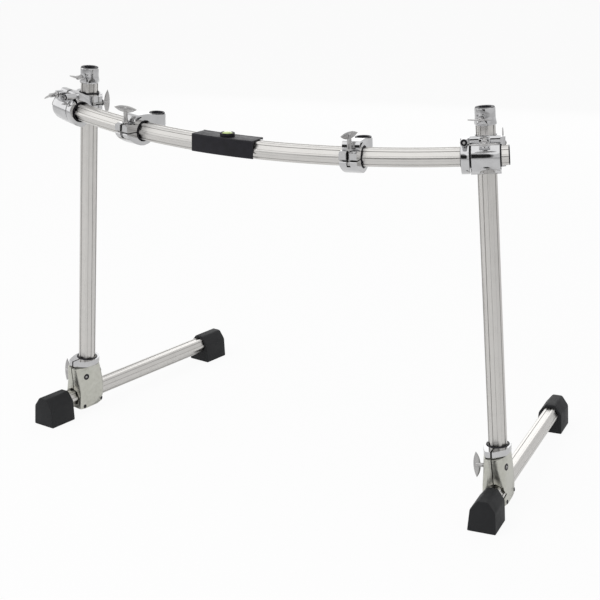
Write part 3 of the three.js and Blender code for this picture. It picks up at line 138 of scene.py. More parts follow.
def hexagon(flats, corner, grooved=False, steps=6):
    """A hexagon with flats above and below. Each corner is an arc about a point at (flats / 2 - corner)
    / cos 30 from the middle, and each flat may carry a groove whose two walls are half cosine waves."""
    side = np.radians(60 * np.arange(6))[:, None]
    arc = side + np.radians(np.linspace(-30, 30, steps + 1))
    centre = (flats / 2 - corner) / np.cos(np.pi / 6)
    corners = [centre * np.cos(side) + corner * np.cos(arc), centre * np.sin(side) + corner * np.sin(arc)]
    outline = np.stack(corners, -1)
    if grooved:
        wall = np.linspace(0, 1, 4)
        half = GROOVE_TOP / 2 + wall * (GROOVE_FLOOR - GROOVE_TOP) / 2
        run = np.concatenate([-half, half[::-1]])
        depth = GROOVE_DEPTH * (1 - np.cos(np.pi * wall)) / 2
        reach = flats / 2 - np.concatenate([depth, depth[::-1]])
        face = side + np.pi / 6
        channel = [reach * np.cos(face) - run * np.sin(face), reach * np.sin(face) + run * np.cos(face)]
        outline = np.concatenate([outline, np.stack(channel, -1)], 1)
    return outline.reshape(-1, 2)


def lifted(outline, x=None, y=None, z=None):
    """An outline's two columns put on the two axes that aren't given, the third held at its level."""
    columns = iter(outline.T)
    held = [next(columns) if at is None else np.full(len(outline), float(at)) for at in (x, y, z)]
    return np.stack(held, -1)


def piece(name, body, material, grids, replaced=(), sharp=35):
    """One object made of closed surfaces. Each is a grid of millimetre points, ring after ring round a
    shape: neighbouring rings are joined by four-sided faces, and the two end rings are filled, or joined
    to each other where the grid is marked as a loop. UV is the run along and round the shape in metres."""
    points, faces, runs, base = [], [], [], 0
    for grid, loop in grids:
        grid = np.asarray(grid) * MM
        rings, count = grid.shape[:2]
        index = base + np.arange(rings * count).reshape(rings, count)
        near = index if loop else index[:-1]
        far = np.roll(index, -1, 0) if loop else index[1:]
        quads = np.stack([near, np.roll(near, -1, 1), np.roll(far, -1, 1), far], -1).reshape(-1, 4)
        faces += quads.tolist()
        if not loop:
            faces += [index[0][::-1].tolist(), index[-1].tolist()]
        step = np.linalg.norm(np.diff(grid, axis=0, append=grid[:1]), axis=-1).mean(1)
        along = np.concatenate([[0], np.cumsum(step)])
        arc = np.linalg.norm(np.roll(grid, -1, 1) - grid, axis=-1)
        around = np.pad(np.cumsum(arc, 1), ((0, 1), (1, 0)))
        around[-1] = around[0]
        run = np.stack([np.broadcast_to(along[:, None], around.shape), around], -1)
        cells = [run[:-1, :-1], run[:-1, 1:], run[1:, 1:], run[1:, :-1]]
        runs.append(np.stack([cell[: len(near)] for cell in cells], 2).reshape(-1, 2))
        if not loop:
            runs += [run[0, :-1][::-1], run[-2, :-1]]
        points.append(grid.reshape(-1, 3))
        base += rings * count
    mesh = bpy.data.meshes.new(name)
    mesh.from_pydata(np.concatenate(points), [], faces)
    corners = np.concatenate(runs).astype(np.float32)
    mesh.uv_layers.new(name="run").data.foreach_set("uv", corners.ravel())
    return dressed(mesh, name, body, material, replaced, sharp)


def dressed(mesh, name, body, material, replaced, sharp):
    """Merges corners that fall together, turns every face outwards, smooths all but sharp edges, and
    gives the piece its finish and the body that it rides on."""
    shape = bmesh.new()
    shape.from_mesh(mesh)
    bmesh.ops.remove_doubles(shape, verts=shape.verts, dist=2e-6)
    bmesh.ops.dissolve_degenerate(shape, edges=shape.edges, dist=1e-6)
    bmesh.ops.recalc_face_normals(shape, faces=shape.faces)
    shape.to_mesh(mesh)
    shape.free()
    mesh.shade_smooth()
    mesh.set_sharp_from_angle(angle=np.radians(sharp))
    mesh.materials.clear()
    mesh.materials.append(material)
    made = bpy.data.objects.new(name, mesh)
    bpy.context.scene.collection.objects.link(made)
    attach(made, body)
    if replaced:
        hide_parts(*replaced)
    return made


OUTER = hexagon(TUBE_FLATS, TUBE_CORNER, grooved=True)
inner_sides = hexagon(TUBE_FLATS - 2 * TUBE_WALL, TUBE_CORNER / 2, steps=5)
outer_shares = np.arange(len(OUTER)) / len(OUTER)
inner_shares = np.arange(len(inner_sides) + 1) / len(inner_sides)
INNER = np.stack([np.interp(outer_shares, inner_shares, np.append(column, column[0]))
                  for column in inner_sides.T], -1)

# Satin anodised aluminium: a soft metal sheen, faint streaks 0.6 mm apart that run along the tube, and
# cloudy patches a few centimetres long where the etch before anodising took a little more or less. The
# narrow walls of each groove are painted darker in the colour, a painted shade in the grooves, so they read
# as fine lines.
outer_arc = np.cumsum(np.linalg.norm(np.roll(OUTER, -1, 0) - OUTER, axis=1))
side_run = outer_arc[-1] / 6
# the shares of one side's run at which its groove's two walls stand, a point into each wall, where the
# painted shade goes
groove_shade_shares = (outer_arc[7] / side_run, outer_arc[11] / side_run)
anodised, tree = started("satin_anodised_aluminium")
run = add(tree, "ShaderNodeUVMap", {"uv_map": "run"})
lines = add(tree, "ShaderNodeMapping", None, {"Vector": run.outputs[0], "Scale": (9, 1600, 1)})
streak = add(tree, "ShaderNodeTexNoise", None, {"Vector": lines.outputs[0], "Scale": 1, "Detail": 3})
cloud = add(tree, "ShaderNodeTexNoise", None, {"Vector": run.outputs[0], "Scale": 28, "Detail": 2})
blend = add(tree, "ShaderNodeMix", {"data_type": "FLOAT"}, {
    0: 0.35, 2: streak.outputs[0], 3: cloud.outputs[0]})
tint = add(tree, "ShaderNodeValToRGB", None, {0: blend.outputs[0]})
tint.color_ramp.elements[0].position, tint.color_ramp.elements[0].color = 0.3, linear("cac8c5")
tint.color_ramp.elements[1].position, tint.color_ramp.elements[1].color = 0.7, linear("d8d6d3")
split = add(tree, "ShaderNodeSeparateXYZ", None, {"Vector": run.outputs[0]})
sides = add(tree, "ShaderNodeMath", {"operation": "DIVIDE"}, {0: split.outputs[1], 1: side_run * MM})
share = add(tree, "ShaderNodeMath", {"operation": "FRACT"}, {0: sides.outputs[0]})
# painted shade: the colour is halved across each groove wall, standing in for the shade in the grooves
wall = add(tree, "ShaderNodeValToRGB", None, {0: share.outputs[0]})
wall.color_ramp.elements[0].position, wall.color_ramp.elements[0].color = 0.0, (1, 1, 1, 1)
wall.color_ramp.elements[1].position, wall.color_ramp.elements[1].color = 1.0, (1, 1, 1, 1)
for middle in groove_shade_shares:
    for away, level in ((-0.04, 1), (-0.025, 0.5), (0.025, 0.5), (0.04, 1)):
        wall.color_ramp.elements.new(middle + away).color = (level, level, level, 1)
shade = add(tree, "ShaderNodeMix", {"data_type": "RGBA", "blend_type": "MULTIPLY"}, {
    0: 1.0, 6: tint.outputs[0], 7: wall.outputs[0]})
gloss = add(tree, "ShaderNodeMapRange", None, {0: blend.outputs[0], 1: 0.3, 2: 0.7, 3: 0.24, 4: 0.36})
relief = add(tree, "ShaderNodeBump", None, {
    "Strength": 0.12, "Distance": 0.00004, "Height": streak.outputs[0]})
closed(tree, add(tree, "ShaderNodeBsdfPrincipled", None, {
    "Base Color": shade.outputs[2], "Metallic": 1.0, "Roughness": gloss.outputs[0],
    "Normal": relief.outputs[0]}))

angles = np.linspace(-BAR_END, BAR_END, 97)
outside = placed(bar_seat(angles), lifted(OUTER, x=0))
inside = placed(bar_seat(angles[::-4]), lifted(INNER, x=0))
piece("curved_bar_tube", "bar", anodised,
      [(np.concatenate([outside, inside]), True)], ["curved_bar"])

# BAR END CAPS
# Black plastic plugs pressed into the open ends of the bar: a thin lid with a rounded rim.

# Injection-moulded nylon: near black, a broad soft highlight, and the fine 0.4 mm grain of a
# spark-eroded mould.
moulded, tree = started("moulded_black_nylon")
here = add(tree, "ShaderNodeTexCoord")
grain = add(tree, "ShaderNodeTexNoise", None, {
    "Vector": here.outputs["Object"], "Scale": 2500, "Detail": 2})
haze = add(tree, "ShaderNodeTexNoise", None, {"Vector": here.outputs["Object"], "Scale": 60, "Detail": 3})
gloss = add(tree, "ShaderNodeMapRange", None, {0: haze.outputs[0], 1: 0.3, 2: 0.7, 3: 0.38, 4: 0.52})
tint = add(tree, "ShaderNodeValToRGB", None, {0: haze.outputs[0]})
tint.color_ramp.elements[0].position, tint.color_ramp.elements[0].color = 0.35, linear("111016")
tint.color_ramp.elements[1].position, tint.color_ramp.elements[1].color = 0.7, linear("1a1920")
relief = add(tree, "ShaderNodeBump", None, {
    "Strength": 0.25, "Distance": 0.00008, "Height": grain.outputs[0]})
closed(tree, add(tree, "ShaderNodeBsdfPrincipled", None, {
    "Base Color": tint.outputs[0], "Roughness": gloss.outputs[0], "IOR": 1.5,
    "Specular IOR Level": 0.3, "Normal": relief.outputs[0]}))

CAP_FIT = np.degrees(0.3 / BAR_RADIUS)
PLUG_FIT = 1.6
plug = hexagon(TUBE_FLATS - 2 * TUBE_WALL - PLUG_FIT, TUBE_CORNER / 2)
lid = hexagon(TUBE_FLATS, TUBE_CORNER)
# from inside the tube to the middle of the lid: an outline, the share of it, and how far out it is
cap_steps = [(plug, 0.9, -12), (plug, 1, -11), (plug, 1, 0), (lid, 0.99, 0), (lid, 1, 0.3), (lid, 1, 1.3),
             (lid, 0.985, 1.9), (lid, 0.95, 2.3), (lid, 0.8, 2.4), (lid, 0.78, 2.1), (lid, 0.2, 2.0)]
for side, sign in (("left", -1), ("right", 1)):
    seat = bar_seat(sign * (BAR_END + CAP_FIT))
    rings = [placed(seat, lifted(outline * size, x=sign * out)) for outline, size, out in cap_steps]
    piece(f"bar_end_cap_{side}_lid", "bar", moulded, [(np.stack(rings), False)],
          [f"bar_end_cap_{side}"])

# BADGE COVER AND LEVEL
# Black plastic cover clipped over the bar's front and top, its front left bare, with a curled bead
# along its rear edge and the round cup of a bubble level. The level's lens stands domed in the cup.

BADGE_ANGLE = -1.2
BADGE_HALF = np.degrees(76 / BAR_RADIUS)
CUP_RADIUS, CUP_RIM, CUP_TOP, CUP_DEPTH = 16, 3.5, 29, 4
LENS_RADIUS, LENS_FROM, DOME_FROM, DOME_RISE = 12.1, 25.3, 25.6, 6.2


def softened(corners, steps=5, open_ended=False):
    """An outline with each corner [u, v, radius] drawn as a quadratic curve, (1 - t)^2 a + 2 t (1 - t) b
    + t^2 c, that starts and ends a radius from the corner."""
    corners = np.asarray(corners, float)
    middle = corners[:, :2]
    before, after = np.roll(middle, 1, 0) - middle, np.roll(middle, -1, 0) - middle
    if open_ended:
        before[0], after[-1] = after[0], before[-1]
    start, end = (
        middle + leg * np.minimum(corners[:, 2:3] / np.linalg.norm(leg, axis=1, keepdims=True), 0.5)
        for leg in (before, after))
    if open_ended:
        start[0], end[0], start[-1], end[-1] = middle[0], middle[0], middle[-1], middle[-1]
    t = np.linspace(0, 1, steps + 1)[None, :, None]
    curve = (1 - t) ** 2 * start[:, None] + 2 * t * (1 - t) * middle[:, None] + t ** 2 * end[:, None]
    return curve.reshape(-1, 2)


def lathe(corners, count=64, steps=4):
    """A profile of [radius, height, rounding] spun about z: every ring is (r cos a, r sin a, h)."""
    profile = softened(corners, steps, open_ended=True)
    turn = np.linspace(0, 2 * np.pi, count, endpoint=False)
    radius, height = profile[:, :1], profile[:, 1:]
    return np.stack([radius * np.cos(turn), radius * np.sin(turn), height + 0 * turn], -1)


section = softened([
    [-24, -16.5, 1.2], [-21.6, -16.5, 1.2], [-21.6, 9.3, 4], [-16.6, 19.3, 3], [16.6, 19.3, 0.5],
    [18.4, 18, 1.5], [21.6, 18, 1.5], [21.6, 23, 1.5], [18.4, 22.2, 1], [16, 22, 1], [-24, 22, 3]], 4)
badge_seats = bar_seat(np.linspace(BADGE_ANGLE - BADGE_HALF, BADGE_ANGLE + BADGE_HALF, 41))
level_seat = bar_seat(BADGE_ANGLE)
cup = lathe([
    [0, 20.5, 0], [15.2, 20.5, 0], [CUP_RADIUS, 22.6, 0.8], [CUP_RADIUS, CUP_TOP, 1.2],
    [CUP_RADIUS - CUP_RIM, CUP_TOP, 1], [CUP_RADIUS - CUP_RIM, CUP_TOP - CUP_DEPTH, 0],
    [0, CUP_TOP - CUP_DEPTH, 0]])
piece("badge_cover_shell", "bar", moulded,
      [(placed(badge_seats, lifted(section, x=0)), False), (placed(level_seat, cup), False)],
      ["badge_cover"])

# Clear acrylic over tinted spirit: a wet, glassy dome that glows yellow-green, darker round the rim.
liquid, tree = started("level_spirit_under_acrylic")
here = add(tree, "ShaderNodeTexCoord")
dome_middle = placed(level_seat, np.array([[0, 0, CUP_TOP]]))[0] * MM
away = add(tree, "ShaderNodeVectorMath", {"operation": "DISTANCE"}, {
    0: here.outputs["Object"], 1: dome_middle.tolist()})
share = add(tree, "ShaderNodeMapRange", None, {0: away.outputs["Value"], 1: 0.0, 2: 0.0125})
tint = add(tree, "ShaderNodeValToRGB", None, {0: share.outputs[0]})
tint.color_ramp.elements[0].position, tint.color_ramp.elements[0].color = 0.35, linear("e4f0c0")
tint.color_ramp.elements[1].position, tint.color_ramp.elements[1].color = 0.95, linear("a9c455")
closed(tree, add(tree, "ShaderNodeBsdfPrincipled", None, {
    "Base Color": tint.outputs[0], "Roughness": 0.06, "IOR": 1.49,
    "Coat Weight": 0.6, "Coat Roughness": 0.03}))
dome = [[0, LENS_FROM, 0], [LENS_RADIUS, LENS_FROM, 0.2]]
dome += [[LENS_RADIUS * np.cos(a), DOME_FROM + DOME_RISE * np.sin(a), 0]
         for a in np.linspace(0, np.pi / 2, 12)]
piece("level_lens_dome", "bar", liquid, [(placed(level_seat, lathe(dome, steps=1)), False)],
      ["level_lens"])

# MULTI CLAMPS
# Two hinged clamps that ride on the bar and hold arms. Body and jaw are zinc die castings, plated with
# bright chrome: they turn on a pin at the rear and close on a black bush with a swing bolt and wing nut.

MULTI_HINGE = (0, -40, -7)
SOCKET_AT = (0, 57, 0)
SOCKET_BORE, SOCKET_LINER = 12.75, 17.4
BAR_PLAY = 1.6  # across the flats, so that the bent tube slides through a straight ring
NUT_SEAT = 27.3
MULTI_STEM, WING_SPAN, WING_WIDTH, WING_THICK = 23.5, 58, 15, 3.6
BUSH_OUTER, BUSH_TEETH, BUSH_RIM = 22.8, 20, 0.5
MULTI_BUSH_HALF = 20

# Polished chrome plate over die-cast zinc: mirror bright with a faint orange peel about 3 mm across,
# cloudier where it is handled, cool in colour beside the aluminium.
chrome, tree = started("polished_chrome_on_zinc")
here = add(tree, "ShaderNodeTexCoord")
peel = add(tree, "ShaderNodeTexNoise", None, {"Vector": here.outputs["Object"], "Scale": 320, "Detail": 2})
wipe = add(tree, "ShaderNodeTexNoise", None, {"Vector": here.outputs["Object"], "Scale": 45, "Detail": 4})
gloss = add(tree, "ShaderNodeMapRange", None, {0: wipe.outputs[0], 1: 0.35, 2: 0.7, 3: 0.05, 4: 0.12})
tint = add(tree, "ShaderNodeValToRGB", None, {0: wipe.outputs[0]})
tint.color_ramp.elements[0].position, tint.color_ramp.elements[0].color = 0.3, linear("bfbfc0")
tint.color_ramp.elements[1].position, tint.color_ramp.elements[1].color = 0.7, linear("cacacb")
relief = add(tree, "ShaderNodeBump", None, {
    "Strength": 0.2, "Distance": 0.00012, "Height": peel.outputs[0]})
closed(tree, add(tree, "ShaderNodeBsdfPrincipled", None, {
    "Base Color": tint.outputs[0], "Metallic": 1.0, "Roughness": gloss.outputs[0],
    "Normal": relief.outputs[0]}))

# Chrome plate over tumbled zinc, on bolts and wing nuts: greyer and softer than the clamps.
satin_chrome, tree = started("satin_chrome_on_zinc")
here = add(tree, "ShaderNodeTexCoord")
wipe = add(tree, "ShaderNodeTexNoise", None, {"Vector": here.outputs["Object"], "Scale": 90, "Detail": 4})
gloss = add(tree, "ShaderNodeMapRange", None, {0: wipe.outputs[0], 1: 0.35, 2: 0.7, 3: 0.2, 4: 0.34})
tint = add(tree, "ShaderNodeValToRGB", None, {0: wipe.outputs[0]})
tint.color_ramp.elements[0].position, tint.color_ramp.elements[0].color = 0.3, linear("a9a8a8")
tint.color_ramp.elements[1].position, tint.color_ramp.elements[1].color = 0.7, linear("bdbcbb")
closed(tree, add(tree, "ShaderNodeBsdfPrincipled", None, {
    "Base Color": tint.outputs[0], "Metallic": 1.0, "Roughness": gloss.outputs[0]}))


def casting(node, material, edge=0.7, sharp=32):
    """A die casting: the CAD solid's copy with its flat neighbours joined and its edges rounded."""
    mesh = frame["nodes"][node].data.copy()
    shape = bmesh.new()
    shape.from_mesh(mesh)
    bmesh.ops.remove_doubles(shape, verts=shape.verts, dist=1e-5)
    bmesh.ops.dissolve_limit(shape, angle_limit=np.radians(0.8), verts=shape.verts, edges=shape.edges)
    shape.to_mesh(mesh)
    shape.free()
    made = dressed(mesh, f"{node}_casting", BODY_OF[node], material, [node], sharp)
    bevel = made.modifiers.new("cast_edges", "BEVEL")
    bevel.width, bevel.segments, bevel.limit_method = edge * MM, 2, "ANGLE"
    bevel.angle_limit, bevel.harden_normals = np.radians(sharp), True
    return made


def moved(seat, offset=(0, 0, 0), axis="X", degrees=0):
    """A seat carried by an offset in its own axes and then turned about one of them."""
    return seat @ np.array(Matrix.Translation(offset) @ Matrix.Rotation(np.radians(degrees), 4, axis))


def leaf(bottom, span, width):
    """A wing: at t from -1 to 1 along the span its edges are a pointed oval, 0.5 (1 - |t|^2.4) of the
    width to each side of a line that rises by 0.1 |t|^3 of it, and its section is a flat rounded lens."""
    t = np.sin(np.linspace(-np.pi / 2, np.pi / 2, 33))[:, None]
    turn = np.linspace(0, 2 * np.pi, 24, endpoint=False)[None]
    far = np.abs(t)
    half = 0.5 * width * (1 - far ** 2.4) + 0.02
    middle = bottom + width / 2 + 0.1 * width * far ** 3
    body = 0.5 * WING_THICK * np.sqrt(1 - 0.75 * far ** 2) * (half > 0.05)
    lens = np.sign(np.sin(turn)) * np.abs(np.sin(turn)) ** 0.8
    return np.stack([0.5 * span * t + 0 * turn, body * lens, middle + half * np.cos(turn)], -1)


def wing_nut(name, body, node, seat, stem, span=WING_SPAN, width=WING_WIDTH, reach=None):
    """A wing on its hub: the hub is a lathe shape that flares into the wing, with a collar at its seat
    on a nut, or with the bolt's shank below its seat on a wing bolt."""
    top = stem + 0.8 * width
    crown = [[4.6, top - 2, 1], [2.8, top, 1.2], [0, top, 0]]
    if reach is None:
        hub = [[0, 0, 0], [7.4, 0, 0.6], [7.5, 2.2, 0.8], [5.2, 3, 0.6], [4.4, stem * 0.55 + 1.5, 2],
               [4.8, stem + 1, 1.5]] + crown
    else:
        hub = [[0, -reach, 0], [3.2, -reach, 0.5], [3.5, -reach + 1, 0.3], [3.5, 0, 0], [4.8, 0, 0.4],
               [4.7, stem, 1.5]] + crown
    grids = [(placed(seat, lathe(hub, 40)), False), (placed(seat, leaf(stem, span, width)), False)]
    return piece(name, body, satin_chrome, grids, [node], sharp=50)


def bush_ring(seats, inner):
    """A bush: its bore follows the tube that it sits on, a ring to each seat, and its outside is round.
    Small teeth are cut in both rims where the radius drops by a square wave of the angle."""
    turn = np.linspace(0, 2 * np.pi, 144, endpoint=False)
    edge = np.degrees(np.arctan2(inner[:, 1], inner[:, 0])) % 360
    order = np.argsort(edge)
    bore = np.interp(np.degrees(turn), edge[order], np.linalg.norm(inner, axis=1)[order], period=360)
    circle = np.stack([np.cos(turn), np.sin(turn)], -1)
    notch = 0.9 * (np.cos(BUSH_TEETH * turn) > 0.2)
    rim = lifted(circle * (BUSH_OUTER - BUSH_RIM - notch)[:, None], x=0)
    rings = [placed(seats[0], rim), placed(seats[0], lifted(circle * BUSH_OUTER, x=BUSH_RIM)),
             placed(seats[-1], lifted(circle * BUSH_OUTER, x=-BUSH_RIM)), placed(seats[-1], rim)]
    rings += [placed(seat, lifted(circle * bore[:, None], x=0)) for seat in seats[::-1]]
    return np.stack(rings), True


BAR_BORE = hexagon(TUBE_FLATS + BAR_PLAY, TUBE_CORNER)
socket_liner = [[SOCKET_BORE, -11.7, 0], [SOCKET_LINER, -11.7, 0.4], [SOCKET_LINER, 30.2, 0],
                [SOCKET_LINER, 31, 0.6], [13.6, 31, 0.8], [SOCKET_BORE, 29, 0.5]]
for side, angle, twist in (("left", -11.1, 15), ("right", 10.5, 71)):
    name = f"multi_clamp_{side}"
    seat = bar_seat(angle)
    for part in ("body", "jaw"):
        casting(f"{name}_{part}", chrome)
    casting(f"{name}_swing_bolt", satin_chrome, edge=0.4)
    stations = bar_seat(angle + np.degrees(np.linspace(-MULTI_BUSH_HALF, MULTI_BUSH_HALF, 9) / BAR_RADIUS))
    piece(f"{name}_bar_bush_ring", f"{name}_slider", moulded,
          [bush_ring(stations, BAR_BORE)], [f"{name}_bar_bush"])
    spun = placed(moved(seat, SOCKET_AT), lathe(socket_liner, 72))
    piece(f"{name}_socket_liner", name, moulded, [(spun, True)], [f"{name}_socket_bush"])
    nut_seat = moved(moved(moved(seat, MULTI_HINGE), (0, 0, NUT_SEAT)), axis="Z", degrees=twist)
    wing_nut(f"{name}_wing", f"{name}_nut", f"{name}_wing_nut", nut_seat, MULTI_STEM)

# T-CLAMPS AND THEIR LOCK RINGS
# Where bar and post meet: a chromed zinc body, a hinged jaw for the bar at the front, its face left
# bare, and one for the post at the rear. A split ring beside each keeps its place on the bar.

POST_BEHIND = 52
TEE_JAW_FROM, TEE_JAW_TO = -27.5, 29.5
TEE_BORE, TEE_FRONT = 24, 31.7
TEE_HINGE = (4, -32)
KNUCKLE_HALF = 9.5
CHEEK_FROM, CHEEK_TO = 3.8, 11
LOCK_FROM, LOCK_TO = 31.4, 48.6
LOCK_BORE, LOCK_FRONT = 23.8, 31.6
BOSS_AT = (40, -13, 36)
BUSH_ENDS = (49.6, -32)
POST_BUSH_HALF = 33
STRAIGHT_PLAY = 0.6  # across the flats, round a straight tube
BAR_NUT_FROM, BAR_NUT_SEAT = (0, 0, 34), 36.3
POST_NUT_FROM, POST_NUT_SEAT = (33.5, 43, 12), 22.6


def extruded(outline, start, end, edge=0.9):
    """An outline carried straight from start to end. Both ends are rounded over by a quarter circle: a
    turn t in, the outline is drawn in along its own normals by edge (1 - sin t), edge (1 - cos t) deep."""
    outline = outline[np.linalg.norm(outline - np.roll(outline, 1, 0), axis=1) > 1e-3]
    ahead = np.roll(outline, -1, 0)
    tangent = ahead - np.roll(outline, 1, 0)
    normal = np.stack([tangent[:, 1], -tangent[:, 0]], -1) / np.linalg.norm(tangent, axis=1, keepdims=True)
    area = np.sum(outline[:, 0] * ahead[:, 1] - outline[:, 1] * ahead[:, 0])
    turn = np.linspace(0, np.pi / 2, 4)
    drawn, depth = edge * (1 - np.sin(turn)), edge * (1 - np.cos(turn))
    places = np.concatenate([start + depth, end - depth[::-1]])
    inset = np.concatenate([drawn, drawn[::-1]]) * np.sign(area)
    return np.stack([lifted(outline - normal * by, x=at) for at, by in zip(places, inset)])


def arc_from_front(radius, start, end, count):
    """An arc about the clamp's axis, its angle measured from the front, up: (-r cos a, r sin a). The third
    column is its rounding, which is none."""
    turn = np.radians(np.linspace(start, end, count))
    return np.stack([-radius * np.cos(turn), radius * np.sin(turn), 0 * turn], -1)


# the bar jaw: a barrel open to the rear, two cheeks and a web that hold the swing bolt, and its hinge
jaw_barrel = softened(np.concatenate([
    [[-0.8, 25.4, 0], [-18.6, 25.4, 0.6]], arc_from_front(TEE_FRONT, 52, -16, 15),
    [[-28.2, -14.8, 5], [-19.5, -25.6, 5], [-8.9, -32, 5], [-3.4, -35.4, 3.4]],
    arc_from_front(TEE_BORE, -81.8, 88, 26)]), 5)
cheek = softened([[-14.8, 20.6, 0], [-16.5, 41.5, 2], [-34.9, 41.5, 1.4], [-35.8, 34, 3], [-34.9, 27, 1.6],
                  [-27.5, 18, 0]], 4)
web = softened([[-14.8, 20.6, 0], [-16, 28.6, 0.6], [-34.8, 28.6, 1], [-34.7, 27, 1.2], [-27.5, 18, 0]], 4)
tail = softened([[-9, -25, 1], [-9, -31.5, 2], [-3, -36.6, 3], [3, -38.1, 1], [3, -27.5, 1],
                 [-3, -25, 0]], 4)
knuckle = lathe([[2.8, -KNUCKLE_HALF, 0], [6.3, -KNUCKLE_HALF, 0.6], [6.3, KNUCKLE_HALF, 0.6],
                 [2.8, KNUCKLE_HALF, 0]], 40)
jaw_forms = [
    extruded(jaw_barrel, TEE_JAW_FROM, TEE_JAW_TO, edge=0.5), extruded(cheek, -CHEEK_TO, -CHEEK_FROM),
    extruded(cheek, CHEEK_FROM, CHEEK_TO), extruded(web, -4.6, 4.6, edge=0.3),
    extruded(tail, -KNUCKLE_HALF, KNUCKLE_HALF, edge=0.4)]

# the lock ring: a split C whose front is round, with a boss above the split for the key bolt
lock_outline = softened(np.concatenate([
    arc_from_front(LOCK_FRONT, 56, -30, 15),
    [[-18.6, -29.5, 9], [3.1, -37.8, 8], [24.8, -24.8, 14], [32.5, 3.1, 14], [18.6, 29.5, 14],
     [-1, 40.3, 5], [-13, 40.3, 1.5], [-13, 29, 0.5]], arc_from_front(LOCK_BORE, 64, 415, 72)]), 5)
lock_boss = lathe([[0, 0, 0], [7.6, 0, 1], [7.6, 24, 0], [7.6, 25, 0.7], [6.9, 25, 0.3], [6.6, 23.6, 0],
                   [0, 23.6, 0]], 48)
lock_collar = lathe([[2.6, 23, 0], [6.7, 23, 0], [6.7, 24.3, 0.3], [2.6, 24.1, 0.3]], 40)
lock_key = lathe([[0, 23, 0], [2.7, 23, 0], [2.7, 26.6, 0.6], [1.2, 26.6, 0.2], [1.0, 25.6, 0],
                  [0, 25.6, 0]], 40)

POST_BORE = hexagon(TUBE_FLATS + STRAIGHT_PLAY, TUBE_CORNER)[:, ::-1]
for side, sign, twist in (("left", -1, 27), ("right", 1, 0)):
    name = f"t_clamp_{side}"
    angle = sign * TEE_ANGLE
    seat = bar_seat(angle)
    for part in ("body", "post_jaw"):
        casting(f"{name}_{part}", chrome)
    hinge = moved(seat, (0, *TEE_HINGE), "Y", 90)
    piece(f"{name}_bar_jaw_barrel", f"{name}_bar_jaw", chrome,
          [(placed(seat, form), False) for form in jaw_forms] + [(placed(hinge, knuckle), True)],
          [f"{name}_bar_jaw"], sharp=34)
    for part in ("bar_swing_bolt", "post_swing_bolt"):
        casting(f"{name}_{part}", satin_chrome, edge=0.4)

    boss = moved(seat, (-sign * BOSS_AT[0], *BOSS_AT[1:]), "X", 90)
    lock_ring = extruded(lock_outline, *np.sort(-sign * np.array([LOCK_FROM, LOCK_TO])))
    piece(f"bar_lock_ring_{side}_split", f"{name}_slider", chrome,
          [(placed(seat, lock_ring), False), (placed(boss, lock_boss), False)],
          [f"bar_lock_ring_{side}"], sharp=34)
    piece(f"bar_lock_collar_{side}", f"{name}_slider", moulded,
          [(placed(boss, lock_collar), True)])
    piece(f"bar_lock_key_{side}", f"{name}_slider", satin_chrome,
          [(placed(boss, lock_key), False)])

    ends = np.sort(-sign * np.array(BUSH_ENDS))
    stations = bar_seat(angle + np.degrees(np.linspace(*ends, 13) / BAR_RADIUS))
    piece(f"{name}_bar_bush_ring", f"{name}_slider", moulded,
          [bush_ring(stations, BAR_BORE)], [f"{name}_bar_bush"])
    upright = moved(seat, (0, POST_BEHIND, 0), "Y", -90)
    stations = np.stack([moved(upright, (x, 0, 0)) for x in (-POST_BUSH_HALF, POST_BUSH_HALF)])
    piece(f"{name}_post_bush_ring", f"post_swivel_{side}", moulded,
          [bush_ring(stations, POST_BORE)], [f"{name}_post_bush"])

    front = moved(moved(seat, BAR_NUT_FROM, "X", 90), (0, 0, BAR_NUT_SEAT), "Z", twist)
    wing_nut(f"{name}_bar_wing", f"{name}_bar_nut", f"{name}_bar_wing_nut", front,
             stem=9)
    rear = moved(moved(moved(seat, POST_NUT_FROM, "Y", 90), axis="X", degrees=-90), (0, 0, POST_NUT_SEAT))
    wing_nut(f"{name}_post_wing", f"{name}_post_nut", f"{name}_post_wing_nut", rear,
             stem=6)

# POSTS AND THEIR HOLDERS
# Straight lengths of the same hexagonal tube, leaning with the bar. A chrome sleeve over the top turns
# from hexagonal to round and holds a black liner for an arm, clamped by a wing bolt in its front boss.

TOE_IN = 6.73
POST_FOOT, POST_ABOVE = 71.5, 62
HOLDER_FROM, HOLDER_TO, HOLDER_FLATS = 54.7, 90, 42.4
LINER_SEAT, LINER_TOP = 62.2, 90.8
HOLDER_BORE = 36.6
ROUND_SHORT = 0.01  # what a round ring's corner radius lacks of half its flats
HOLDER_BOLT_AT, HOLDER_NUT_SEAT = 71, 27.3


def leg_seat(sign):
    """The post's seat on the floor, the floor bar's seat, and the bar's height along the post. The post's
    axis runs square to the bar, through a point behind it; the floor bar turns by its toe-in, and the
    post's own y follows it."""
    seat = bar_seat(sign * TEE_ANGLE)
    level = placed(seat, np.array([[0, POST_BEHIND, 0]]))[0]
    up = seat[:3, 2]
    rise = level[2] / up[2]
    toe = np.radians(TOE_IN) * sign
    run = np.array([-np.sin(toe), np.cos(toe), 0])
    back = run - (run @ up) * up
    back /= np.linalg.norm(back)
    leg, floor = np.eye(4), np.eye(4)
    leg[:3, :3] = np.stack([np.cross(back, up), back, up], -1)
    floor[:3, :3] = np.stack([np.cross(run, [0, 0, 1]), run, [0, 0, 1]], -1)
    leg[:3, 3] = floor[:3, 3] = level - rise * up
    return leg, floor, rise


